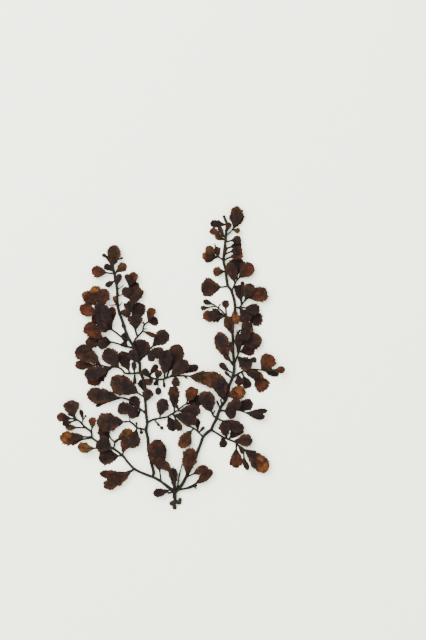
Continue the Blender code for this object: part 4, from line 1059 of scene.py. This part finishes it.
# %% One helper for nodes
def add(tree, kind, links=None, **settings):
    """Adds a node with its settings. An input takes a value, a socket or a node's first output."""
    node = tree.nodes.new(kind)
    for name, value in settings.items():
        setattr(node, name, value)
    for name, value in (links or {}).items():
        if isinstance(value, bpy.types.Node):
            value = value.outputs[0]
        if isinstance(value, bpy.types.NodeSocket):
            tree.links.new(value, node.inputs[name])
        else:
            node.inputs[name].default_value = value
    return node


# The kinds of node that are used more than once. Where inputs share a name they go by number: 0 is
# the value or share, 1 to 4 are a range's two ends before and after, 6 and 7 are a mix's colours.
MATH = "ShaderNodeMath"
VECTOR_MATH = "ShaderNodeVectorMath"
NOISE = "ShaderNodeTexNoise"
RANGE = "ShaderNodeMapRange"
SPLIT = "ShaderNodeSeparateXYZ"
COMBINE = "ShaderNodeCombineXYZ"
NAMED = "GeometryNodeInputNamedAttribute"
STORE = "GeometryNodeStoreNamedAttribute"
PLACE = "GeometryNodeInputPosition"
NORMAL = "GeometryNodeInputNormal"
SET_PLACE = "GeometryNodeSetPosition"
SET_MATERIAL = "GeometryNodeSetMaterial"
FLAG_LIMIT = 0.5

# %% The tree's inputs
FROND_INPUTS = [
    ("Wrinkle Share", "NodeSocketFloat", 0.42),
    ("Wrinkle Size", "NodeSocketFloat", 1.4 * MM),
    ("Tube Step", "NodeSocketFloat", 0.45 * MM),
    ("Tooth Depth", "NodeSocketFloat", 1.0 * MM),
    ("Tooth Pitch", "NodeSocketFloat", 1.5 * MM),
    ("Lobe Depth", "NodeSocketFloat", 0.7 * MM),
    ("Lobe Size", "NodeSocketFloat", 3.2 * MM),
    ("Cockle Height", "NodeSocketFloat", 0.34 * MM),
    ("Cockle Size", "NodeSocketFloat", 3.6 * MM),
    ("Lowest Point", "NodeSocketFloat", 0.02 * MM),
    ("Pore Density", "NodeSocketFloat", 0.22 / (MM * MM)),
    ("Pore Radius", "NodeSocketFloat", 0.13 * MM),
    ("Seed", "NodeSocketInt", 11),
    ("Blade Finish", "NodeSocketMaterial", None),
    ("Stem Finish", "NodeSocketMaterial", None),
]


def keep_above_floor(tree, given, surface):
    """Lifts whatever lies below the lowest point up to it, so that nothing sinks into the floor."""
    parts = add(tree, SPLIT, {0: add(tree, PLACE)}).outputs
    height = add(tree, MATH, {0: parts["Z"], 1: given["Lowest Point"]}, operation="MAXIMUM")
    place = add(tree, COMBINE, {"X": parts["X"], "Y": parts["Y"], "Z": height})
    return add(tree, SET_PLACE, {"Geometry": surface, "Position": place})


# %% [markdown]
# A stem or midrib shrinks unevenly as it dries. The tube's wrinkles are a share of its own
# thickness, so that a thin twig isn't pinched through.

# %% Tubes
TUBE_SIDES = 9


def grow_tubes(tree, given, lines):
    """Turns lines into wrinkled tubes, as thick as their points say."""
    thick = add(tree, NAMED, {"Name": "thick"})
    curves = add(tree, "GeometryNodeMeshToCurve", {"Mesh": lines})
    smooth = add(
        tree, "GeometryNodeCurveSplineType", {"Curve": curves}, spline_type="CATMULL_ROM")
    evened = add(
        tree, "GeometryNodeResampleCurve", {"Curve": smooth, "Length": given["Tube Step"]},
        mode="LENGTH")
    ring = add(
        tree, "GeometryNodeCurvePrimitiveCircle", {"Resolution": TUBE_SIDES, "Radius": 1.0})
    tubes = add(tree, "GeometryNodeCurveToMesh", {
        "Curve": evened, "Profile Curve": ring, "Scale": thick, "Fill Caps": True})
    often = add(tree, MATH, {0: 1.0, 1: given["Wrinkle Size"]}, operation="DIVIDE")
    wrinkles = add(tree, NOISE, {"Vector": add(tree, PLACE), "Scale": often, "Detail": 3.0})
    swing = add(tree, RANGE, {0: wrinkles, 3: -1.0, 4: 1.0})
    depth = add(tree, MATH, {0: thick, 1: given["Wrinkle Share"]}, operation="MULTIPLY")
    dent = add(tree, MATH, {0: swing, 1: depth}, operation="MULTIPLY")
    offset = add(tree, VECTOR_MATH, {0: add(tree, NORMAL), "Scale": dent}, operation="SCALE")
    wrinkled = add(tree, SET_PLACE, {"Geometry": tubes, "Offset": offset})
    resting = keep_above_floor(tree, given, wrinkled)
    return add(
        tree, STORE, {"Geometry": resting, "Name": "woody", "Value": 1.0}, data_type="FLOAT")


# %% [markdown]
# The rim has saw teeth that lean to the tip, uneven in depth and spacing, on an outline that goes
# in and out in shallow lobes. A noise of the place shifts the saw, so the left and right teeth
# don't match.

# %% Teeth
SAW_DRIFT = 2.4
SAW_LEAN = 1.25
SAW_MIDDLE = 0.45
DEPTH_CHANGE = 0.7
SHALLOWEST, DEEPEST = 0.4, 1.6


def rim_offset(tree, given):
    """How each point of a blade moves outward for the teeth and lobes."""
    # The ranges from 0.2 to 0.8 and 0.25 to 0.75 are where most of a noise's values lie.
    near = add(tree, MATH, {0: 1.0, 1: given["Lobe Size"]}, operation="DIVIDE")
    drift = add(tree, NOISE, {"Vector": add(tree, PLACE), "Scale": near, "Detail": 1.5})
    run = add(tree, NAMED, {"Name": "run"})
    pitches = add(tree, MATH, {0: run, 1: given["Tooth Pitch"]}, operation="DIVIDE")
    shifted = add(tree, MATH, {0: drift, 1: SAW_DRIFT, 2: pitches}, operation="MULTIPLY_ADD")
    turns = add(tree, MATH, {0: shifted, 1: add(tree, NAMED, {"Name": "phase"})}, operation="ADD")
    ramp = add(tree, MATH, {0: turns}, operation="FRACT")
    leaning = add(tree, MATH, {0: ramp, 1: SAW_LEAN}, operation="POWER")
    saw = add(tree, MATH, {0: leaning, 1: SAW_MIDDLE}, operation="SUBTRACT")
    uneven = add(
        tree, NOISE, {"W": turns, "Scale": DEPTH_CHANGE, "Detail": 1.0}, noise_dimensions="1D")
    share = add(tree, RANGE, {0: uneven, 1: 0.2, 2: 0.8, 3: SHALLOWEST, 4: DEEPEST})
    deep = add(tree, MATH, {0: share, 1: given["Tooth Depth"]}, operation="MULTIPLY")
    bite = add(tree, MATH, {0: saw, 1: deep}, operation="MULTIPLY")
    swing = add(tree, RANGE, {0: drift, 1: 0.25, 2: 0.75, 3: -1.0, 4: 1.0})
    both = add(tree, MATH, {0: swing, 1: given["Lobe Depth"], 2: bite}, operation="MULTIPLY_ADD")
    toothed = add(tree, NAMED, {"Name": "toothed"})
    held = add(tree, MATH, {0: both, 1: toothed}, operation="MULTIPLY")
    outward = add(tree, NAMED, {"Name": "outward"}, data_type="FLOAT_VECTOR")
    return add(tree, VECTOR_MATH, {0: outward, "Scale": held}, operation="SCALE")


# %% [markdown]
# A drying blade cockles: its free rim curls up and down by a few tenths of a millimetre, while the
# rib holds its middle. Each blade reads its own slice of the noise, so that blades which lie over
# each other differ.

# %% Cockles
SLICE_STEP = 0.05
RIB_GIVES = 0.15
STALK_HOLDS = 0.2


def cockle_offset(tree, given):
    """How each point of a blade moves up or down for the cockles."""
    parts = add(tree, SPLIT, {0: add(tree, PLACE)}).outputs
    phase = add(tree, NAMED, {"Name": "phase"})
    slice_of = add(tree, MATH, {0: phase, 1: SLICE_STEP}, operation="MULTIPLY")
    place = add(tree, COMBINE, {"X": parts["X"], "Y": parts["Y"], "Z": slice_of})
    often = add(tree, MATH, {0: 1.0, 1: given["Cockle Size"]}, operation="DIVIDE")
    cockle = add(
        tree, NOISE, {"Vector": place, "Scale": often, "Detail": 2.5, "Roughness": 0.55})
    swing = add(tree, RANGE, {0: cockle, 3: -1.0, 4: 1.0})
    lift = add(tree, MATH, {0: swing, 1: given["Cockle Height"]}, operation="MULTIPLY")
    freer = add(tree, RANGE, {0: add(tree, NAMED, {"Name": "reach"}), 3: RIB_GIVES, 4: 1.0})
    from_stalk = add(tree, RANGE, {0: add(tree, NAMED, {"Name": "past"}), 2: STALK_HOLDS})
    held = add(tree, MATH, {0: freer, 1: from_stalk}, operation="MULTIPLY")
    height = add(tree, MATH, {0: lift, 1: held}, operation="MULTIPLY")
    return add(tree, COMBINE, {"Z": height})


# %% [markdown]
# Sargassum blades are dotted with small pores that tufts of fine hairs grew from. On a dry blade
# they are low dark domes, a quarter of a millimetre across, scattered on the upper faces at about
# one in 4.5 square millimetres.

# %% Pores
FACES_UP = 0.4
PORE_AREA = {"reach": (0.93, "LESS_THAN"), "past": (0.05, "GREATER_THAN")}
PORE_HEIGHT = 0.45


def add_pores(tree, given, blades):
    """Scatters pores on the upper side of the blades, clear of rim and stalk."""
    facing = add(tree, SPLIT, {0: add(tree, NORMAL)}).outputs["Z"]
    where = add(tree, MATH, {0: facing, 1: FACES_UP}, operation="GREATER_THAN")
    for name, (limit, comparison) in PORE_AREA.items():
        value = add(tree, NAMED, {"Name": name})
        inside = add(tree, MATH, {0: value, 1: limit}, operation=comparison)
        where = add(tree, MATH, {0: where, 1: inside}, operation="MULTIPLY")
    spread = add(tree, "GeometryNodeDistributePointsOnFaces", {
        "Mesh": blades, "Selection": where,
        "Density": given["Pore Density"], "Seed": given["Seed"]})
    dome = add(
        tree, "GeometryNodeMeshIcoSphere", {"Radius": given["Pore Radius"], "Subdivisions": 1})
    low = add(tree, COMBINE, {"X": 1.0, "Y": 1.0, "Z": PORE_HEIGHT})
    pores = add(tree, "GeometryNodeInstanceOnPoints", {
        "Points": spread, "Instance": dome,
        "Rotation": spread.outputs["Rotation"], "Scale": low})
    real = add(tree, "GeometryNodeRealizeInstances", {"Geometry": pores})
    resting = keep_above_floor(tree, given, real)
    return add(
        tree, STORE, {"Geometry": resting, "Name": "pore", "Value": 1.0}, data_type="FLOAT")


# %% The whole tree
def frond_tree():
    """The tree that turns a shoot's skeleton into its surface."""
    tree = bpy.data.node_groups.new("frond_surface", "GeometryNodeTree")
    tree.interface.new_socket("Geometry", in_out="INPUT", socket_type="NodeSocketGeometry")
    for name, kind, usual in FROND_INPUTS:
        socket = tree.interface.new_socket(name, in_out="INPUT", socket_type=kind)
        if usual is not None:
            socket.default_value = usual
    tree.interface.new_socket("Geometry", in_out="OUTPUT", socket_type="NodeSocketGeometry")
    given = add(tree, "NodeGroupInput").outputs
    axis = add(tree, NAMED, {"Name": "axis"})
    is_line = add(tree, MATH, {0: axis, 1: FLAG_LIMIT}, operation="GREATER_THAN")
    parted = add(
        tree, "GeometryNodeSeparateGeometry",
        {"Geometry": given["Geometry"], "Selection": is_line})
    tubes = grow_tubes(tree, given, parted.outputs["Selection"])
    offset = add(
        tree, VECTOR_MATH, {0: rim_offset(tree, given), 1: cockle_offset(tree, given)},
        operation="ADD")
    waved = add(tree, SET_PLACE, {"Geometry": parted.outputs["Inverted"], "Offset": offset})
    blades = keep_above_floor(tree, given, waved)
    joined = add(tree, "GeometryNodeJoinGeometry")
    for branch in (add_pores(tree, given, blades), blades, tubes):
        tree.links.new(branch.outputs[0], joined.inputs[0])
    realized = add(tree, "GeometryNodeRealizeInstances", {"Geometry": joined})
    woody = add(tree, NAMED, {"Name": "woody"})
    leafy = add(tree, MATH, {0: woody, 1: FLAG_LIMIT}, operation="LESS_THAN")
    stemmed = add(
        tree, SET_MATERIAL, {"Geometry": realized, "Material": given["Stem Finish"]})
    finished = add(tree, SET_MATERIAL, {
        "Geometry": stemmed, "Selection": leafy, "Material": given["Blade Finish"]})
    add(tree, "NodeGroupOutput", {"Geometry": finished})
    return tree


surface = frond_tree()
print("surface tree:", len(surface.nodes), "nodes,", len(FROND_INPUTS), "inputs")

# %% [markdown]
# ## Finishes
# Dried blade: leathery brown algal tissue that shrank as it dried. To the eye it is dull and
# nearly black, mottled, and darker at its rib and its very edge. Near its thin rim it is warm brown
# or rusty, partly its own colour and partly painted light that the thin rim lets through. Where
# blades overlap it is darker, which is painted shade. Dried stem: the same tissue, much thicker,
# black-brown with fine wrinkles whose bumps catch a little light, and whose raised parts also get a
# painted highlight. Neither has metal in it, and drying left hardly any gloss.

# %% A finish to start from
SHADER_ATTRIBUTE = "ShaderNodeAttribute"
MIX = "ShaderNodeMix"
BUMP = "ShaderNodeBump"
DARKEST = linear("#0e0a08")
# The rim's tint: partly the tissue's own rust, partly painted light that the thin rim lets through.
RIM_RUST_AND_PAINTED_LIGHT = linear("#2f1a10")
BLADE_SHEEN = 0.03
STEM_SHEEN = 0.04


def make_finish(name, sheen):
    """A new material with its tree, its shader and the object's own coordinates."""
    finish = bpy.data.materials.new(name)
    finish.use_nodes = True
    tree = finish.node_tree
    shader = tree.nodes["Principled BSDF"]
    shader.inputs["Specular IOR Level"].default_value = sheen
    place = add(tree, "ShaderNodeTexCoord").outputs["Object"]
    return finish, tree, shader, place


# %% [markdown]
# Mottling about 5 mm across is as wide as the patches that age and drying leave on a blade. The
# grain of 1.5 mm and finer is its tissue's wrinkles, as coarse as a picture of the whole plant can
# still show.

# %% The tone of a blade
TONE_STRAY = 0.7
# Painted shade where blades overlap: how far an overlap darkens towards the darkest blade tone.
OVERLAP_PAINTED_SHADE = 0.7
DARK_PORE = 0.5
END_ROUND = 4.0
MOTTLE_CONTRAST, GRAIN_CONTRAST, LIGHT_SHIFT = 1.1, 2.1, -0.6
READ_BY_BLADE = ("reach", "past", "cover", "pore", "base_tone", "tip_tone")


def blade_tone(tree, mottle, grain, patches):
    """A blade's colour: two tones, darkened in patches, at rim, rib and pores, with painted overlap
    shade.
    """
    reach, past, cover_here, pore, base, tip = (
        add(tree, SHADER_ATTRIBUTE, attribute_name=name).outputs[
            "Color" if name in COLOURS else "Fac"]
        for name in READ_BY_BLADE
    )
    stray = add(
        tree, MATH, {0: mottle, 1: 2.0 * TONE_STRAY, 2: -TONE_STRAY}, operation="MULTIPLY_ADD")
    uneven_past = add(tree, MATH, {0: past, 1: stray}, operation="ADD")
    end = add(tree, MATH, {0: past, 1: END_ROUND}, operation="POWER")
    edge = add(tree, MATH, {0: reach, 1: end}, operation="MAXIMUM")
    uneven_edge = add(tree, MATH, {0: edge, 1: stray}, operation="ADD")
    beside_rib = add(tree, RANGE, {0: reach, 1: 0.02, 2: 0.3, 3: 0.6, 4: 0.0})
    rib_left = add(tree, RANGE, {0: past, 1: 0.3, 2: 0.85, 3: 1.0, 4: 0.0})
    # What each tint follows, from which value to which, and how strong it is at most.
    # The rusty rim tint is partly the tissue's own colour and partly painted light through the thin
    # rim.
    towards_tip, stained, thin_rim_rust_and_light, rim = (
        add(tree, RANGE, {0: value, 1: low, 2: high, 4: most}, interpolation_type="SMOOTHSTEP")
        for value, low, high, most in (
            (uneven_past, 0.4, 0.8, 1.0),
            (patches, 0.44, 0.6, 0.65),
            (uneven_edge, 0.45, 0.9, 0.65),
            (edge, 0.86, 1.0, 0.7),
        )
    )
    # The overlap darkening below is painted shade: stacked blades let less light through than one.
    rib, deep, dot = (
        add(tree, MATH, {0: value, 1: share}, operation="MULTIPLY")
        for value, share in (
            (beside_rib, rib_left), (cover_here, OVERLAP_PAINTED_SHADE), (pore, DARK_PORE))
    )
    # The tints in order: how strong, and towards which tone.
    tone = base
    for share, towards in (
        (towards_tip, tip), (stained, TONES["D"]), (thin_rim_rust_and_light, RIM_RUST_AND_PAINTED_LIGHT), (rim, DARKEST),
        (rib, DARKEST), (deep, TONES["D"]), (dot, DARKEST),
    ):
        tone = add(tree, MIX, {0: share, 6: tone, 7: towards}, data_type="RGBA").outputs[2]
    broad = add(
        tree, MATH, {0: mottle, 1: MOTTLE_CONTRAST, 2: LIGHT_SHIFT}, operation="MULTIPLY_ADD")
    light = add(tree, MATH, {0: grain, 1: GRAIN_CONTRAST, 2: broad}, operation="MULTIPLY_ADD")
    return add(
        tree, MIX, {0: 1.0, 6: tone, 7: light}, data_type="RGBA", blend_type="MULTIPLY",
    ).outputs[2]


# %% Dried blade
MOTTLE_SIZE, PATCH_SIZE, GRAIN_SIZE = 5.0 * MM, 4.5 * MM, 1.5 * MM


def dried_blade():
    """Leathery dried blade: mottled warm black-brown to amber, dull, with a fine grain."""
    finish, tree, shader, place = make_finish("dried_leathery_blade", BLADE_SHEEN)
    mottle, patches, grain = (
        add(tree, NOISE, {"Vector": place, "Scale": 1.0 / size, "Detail": detail})
        for size, detail in ((MOTTLE_SIZE, 4.0), (PATCH_SIZE, 3.0), (GRAIN_SIZE, 4.0))
    )
    tree.links.new(blade_tone(tree, mottle, grain, patches), shader.inputs["Base Color"])
    dull = add(tree, RANGE, {0: grain, 3: 0.5, 4: 0.8})
    tree.links.new(dull.outputs[0], shader.inputs["Roughness"])
    fine = add(tree, BUMP, {"Height": grain, "Distance": 0.12 * MM, "Strength": 0.55})
    broad = add(
        tree, BUMP, {"Height": mottle, "Distance": 0.5 * MM, "Strength": 0.4, "Normal": fine})
    tree.links.new(broad.outputs[0], shader.inputs["Normal"])
    return finish


# %% [markdown]
# The stem's wrinkles, 0.9 mm apart, show as changes of dullness and as a painted highlight, a
# lighter tone on their raised parts. The holdfast is the same with more pale flecks, where grit and
# salt from the rock still cling.

# %% Dried stem and holdfast
WRINKLE_SIZE, FLECK_SIZE = 0.9 * MM, 0.5 * MM
# How much lighter the painted highlight on the wrinkles' raised parts is.
PAINTED_WRINKLE_HIGHLIGHT = 2.4
FLECK_TONE = linear("#5c5142")


def dried_stem(name, tone, flecks):
    """Dried stem or holdfast: nearly black, dull, wrinkled, painted highlights on wrinkles, pale
    flecks.
    """
    finish, tree, shader, place = make_finish(name, STEM_SHEEN)
    wrinkle = add(tree, NOISE, {"Vector": place, "Scale": 1.0 / WRINKLE_SIZE, "Detail": 5.0})
    spots = add(tree, NOISE, {"Vector": place, "Scale": 1.0 / FLECK_SIZE, "Detail": 2.0})
    fleck = add(tree, RANGE, {0: spots, 1: 0.58, 2: 0.72, 4: flecks})
    # A painted highlight: where the bump noise is high, on the wrinkles' raised parts, the tone is
    # lighter.
    highlight_tone = tuple(part * PAINTED_WRINKLE_HIGHLIGHT for part in tone[:3]) + (1.0,)
    painted_wrinkle_highlight = add(tree, MIX, {0: wrinkle, 6: tone, 7: highlight_tone}, data_type="RGBA").outputs[2]
    flecked = add(tree, MIX, {0: fleck, 6: painted_wrinkle_highlight, 7: FLECK_TONE}, data_type="RGBA").outputs[2]
    tree.links.new(flecked, shader.inputs["Base Color"])
    rough = add(tree, RANGE, {0: wrinkle, 3: 0.5, 4: 0.85})
    tree.links.new(rough.outputs[0], shader.inputs["Roughness"])
    bump = add(tree, BUMP, {"Height": wrinkle, "Distance": 0.3 * MM, "Strength": 0.7})
    tree.links.new(bump.outputs[0], shader.inputs["Normal"])
    return finish


blade_finish = dried_blade()
stem_finish = dried_stem("dried_wrinkled_stem", STEM_TONE, 0.1)
holdfast_finish = dried_stem("dried_crusty_holdfast", linear("#130f0c"), 0.25)
print("finishes:", blade_finish.name, stem_finish.name, holdfast_finish.name)

# %% [markdown]
# ## Growing the shoots
# Every shoot gets its own skeleton and its own copy of the modifier. The evaluated result is kept
# as a plain mesh, so nothing is left live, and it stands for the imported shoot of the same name.


# %% Make each shoot
def set_inputs(modifier, **given):
    """Fills a node modifier's inputs by the names that the tree shows."""
    for item in modifier.node_group.interface.items_tree:
        if item.item_type == "SOCKET" and item.in_out == "INPUT" and item.name in given:
            modifier[item.identifier] = given[item.name]


def finish_shoot(name, shoot, seed):
    """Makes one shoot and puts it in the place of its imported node."""
    skeleton = Skeleton()
    add_stems(skeleton, name, shoot["stems"])
    for leaf in leaves_of[name]:
        add_midrib(skeleton, leaf)
        add_blade(skeleton, leaf)
    for place, half_axes in shoot.get("bladders", []):
        add_bladder(skeleton, place, half_axes)
    bare = skeleton.as_object(name + "_skeleton")
    modifier = bare.modifiers.new("surface", "NODES")
    modifier.node_group = surface
    set_inputs(
        modifier, **{"Blade Finish": blade_finish, "Stem Finish": stem_finish, "Seed": seed})
    mesh = as_plain_mesh(bare)
    mesh.name = name + "_frond"
    mesh.shade_smooth()
    piece = put_in_scene(name + "_frond", mesh)
    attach(piece, "root")
    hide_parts(name)
    return sum(len(face.vertices) - 2 for face in mesh.polygons)


triangles = 0
for number, (name, shoot) in enumerate(SHOOTS.items()):
    made = finish_shoot(name, shoot, number)
    triangles += made
    print(name, len(leaves_of[name]), "leaves,", made, "triangles")
print("all shoots:", triangles, "triangles")

# %% [markdown]
# ## The holdfast
# The holdfast is the lobed clump that gripped the rock. Its lobes run into each other with no
# seams, so balls are joined by a voxel remesh, smoothed, and pushed in and out by a noise to look
# dry and knobbly.

# %% Make the holdfast
HOLDFAST_LOBES = [
    ((3.0, -90.6), (2.0, 1.7, 1.5)),
    ((1.0, -91.6), (1.8, 1.7, 1.3)),
    ((2.6, -93.9), (1.5, 1.7, 1.2)),
    ((5.3, -90.9), (1.8, 1.6, 1.3)),
    ((6.1, -89.3), (1.3, 1.4, 1.0)),
    ((2.8, -88.6), (1.1, 1.4, 1.0)),
]
HOLDFAST_LIFT = 0.9
CLUMP_VOXEL = 0.14
SMOOTHINGS = 6
KNOB_SIZE = 1.3
KNOB_HEIGHT = 0.28


def make_holdfast():
    """The holdfast as one remeshed and knobbly clump with a flat underside."""
    clump = bmesh.new()
    for (x, y), half_axes in HOLDFAST_LOBES:
        lobe = bmesh.ops.create_icosphere(clump, subdivisions=4, radius=MM)["verts"]
        bmesh.ops.scale(clump, verts=lobe, vec=Vector(half_axes))
        bmesh.ops.translate(clump, verts=lobe, vec=Vector((x, y, HOLDFAST_LIFT)) * MM)
    mesh = bpy.data.meshes.new("holdfast_clump")
    clump.to_mesh(mesh)
    clump.free()
    bare = put_in_scene("holdfast_clump", mesh)
    remesh = bare.modifiers.new("one_skin", "REMESH")
    remesh.mode = "VOXEL"
    remesh.voxel_size = CLUMP_VOXEL * MM
    bare.modifiers.new("soften", "SMOOTH").iterations = SMOOTHINGS
    skin = as_plain_mesh(bare)
    shape = bmesh.new()
    shape.from_mesh(skin)
    shape.normal_update()
    for vert in shape.verts:
        knob = noise.fractal(vert.co / (KNOB_SIZE * MM), 0.8, 2.0, 3)
        vert.co += vert.normal * knob * KNOB_HEIGHT * MM
        vert.co.z = max(vert.co.z, 0.0)
    shape.to_mesh(skin)
    shape.free()
    skin.shade_smooth()
    skin.materials.clear()
    skin.materials.append(holdfast_finish)
    piece = put_in_scene("holdfast_clump", skin)
    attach(piece, "root")
    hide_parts("holdfast")
    print("holdfast:", len(skin.polygons), "faces")


make_holdfast()

# %% [markdown]
# ## Floor, light and camera
# The plant is looked at from straight above on a pale matt floor. A large soft lamp high to the
# left gives the blades a faint sheen and a short soft shadow, and the pale world fills the rest.
# The camera is far off with a long lens, so the plant shows almost no perspective.

# %% Floor, light and camera
FLOOR_SIDE = 1.4
FLOOR_SHEEN = 0.1
FLOOR_TONES = (linear("#eff5e3"), linear("#f3f9e7"))
FIBRE_SIZE = 1.5 * MM
LAMP_PLACE = (-0.45, 0.5, 0.95)
LAMP_SIDE = 0.8
LAMP_POWER = 30.0
CAMERA_PLACE = (26.9, 24.4, 957.0)
LENS = 85.0
SENSOR_WIDTH = 36.0
WORLD_TONE = linear("#f8faf4")
WORLD_STRENGTH = 3.0


def make_floor():
    """A pale matt floor."""
    mesh = bpy.data.meshes.new("floor")
    half = FLOOR_SIDE / 2.0
    corners = [(-half, -half, 0.0), (half, -half, 0.0), (half, half, 0.0), (-half, half, 0.0)]
    mesh.from_pydata(corners, [], [(0, 1, 2, 3)])
    finish, tree, shader, place = make_finish("pale_matt_floor", FLOOR_SHEEN)
    fibre = add(tree, NOISE, {"Vector": place, "Scale": 1.0 / FIBRE_SIZE, "Detail": 3.0})
    low, high = FLOOR_TONES
    shade = add(tree, MIX, {0: fibre, 6: low, 7: high}, data_type="RGBA").outputs[2]
    tree.links.new(shade, shader.inputs["Base Color"])
    shader.inputs["Roughness"].default_value = 0.95
    mesh.materials.append(finish)
    floor = put_in_scene("floor", mesh)


def make_lamp():
    """A square soft lamp that points at the middle of the plant."""
    data = bpy.data.lights.new("soft_lamp", "AREA")
    data.size = LAMP_SIDE
    data.energy = LAMP_POWER
    lamp = put_in_scene("soft_lamp", data)
    lamp.location = LAMP_PLACE
    lamp.rotation_euler = (-Vector(LAMP_PLACE)).to_track_quat("-Z", "Y").to_euler()


def make_camera():
    """A camera that looks straight down."""
    data = bpy.data.cameras.new("camera")
    data.lens = LENS
    data.sensor_width = SENSOR_WIDTH
    camera = put_in_scene("camera", data)
    camera.location = Vector(CAMERA_PLACE) * MM
    bpy.context.scene.camera = camera


def make_world():
    """A pale world that lights the plant evenly from all sides."""
    world = bpy.data.worlds.new("pale_world")
    world.use_nodes = True
    inputs = world.node_tree.nodes["Background"].inputs
    inputs["Color"].default_value = WORLD_TONE
    inputs["Strength"].default_value = WORLD_STRENGTH
    bpy.context.scene.world = world


make_floor()
make_lamp()
make_camera()
make_world()
print("camera, mm:", CAMERA_PLACE, " lens, mm:", LENS)
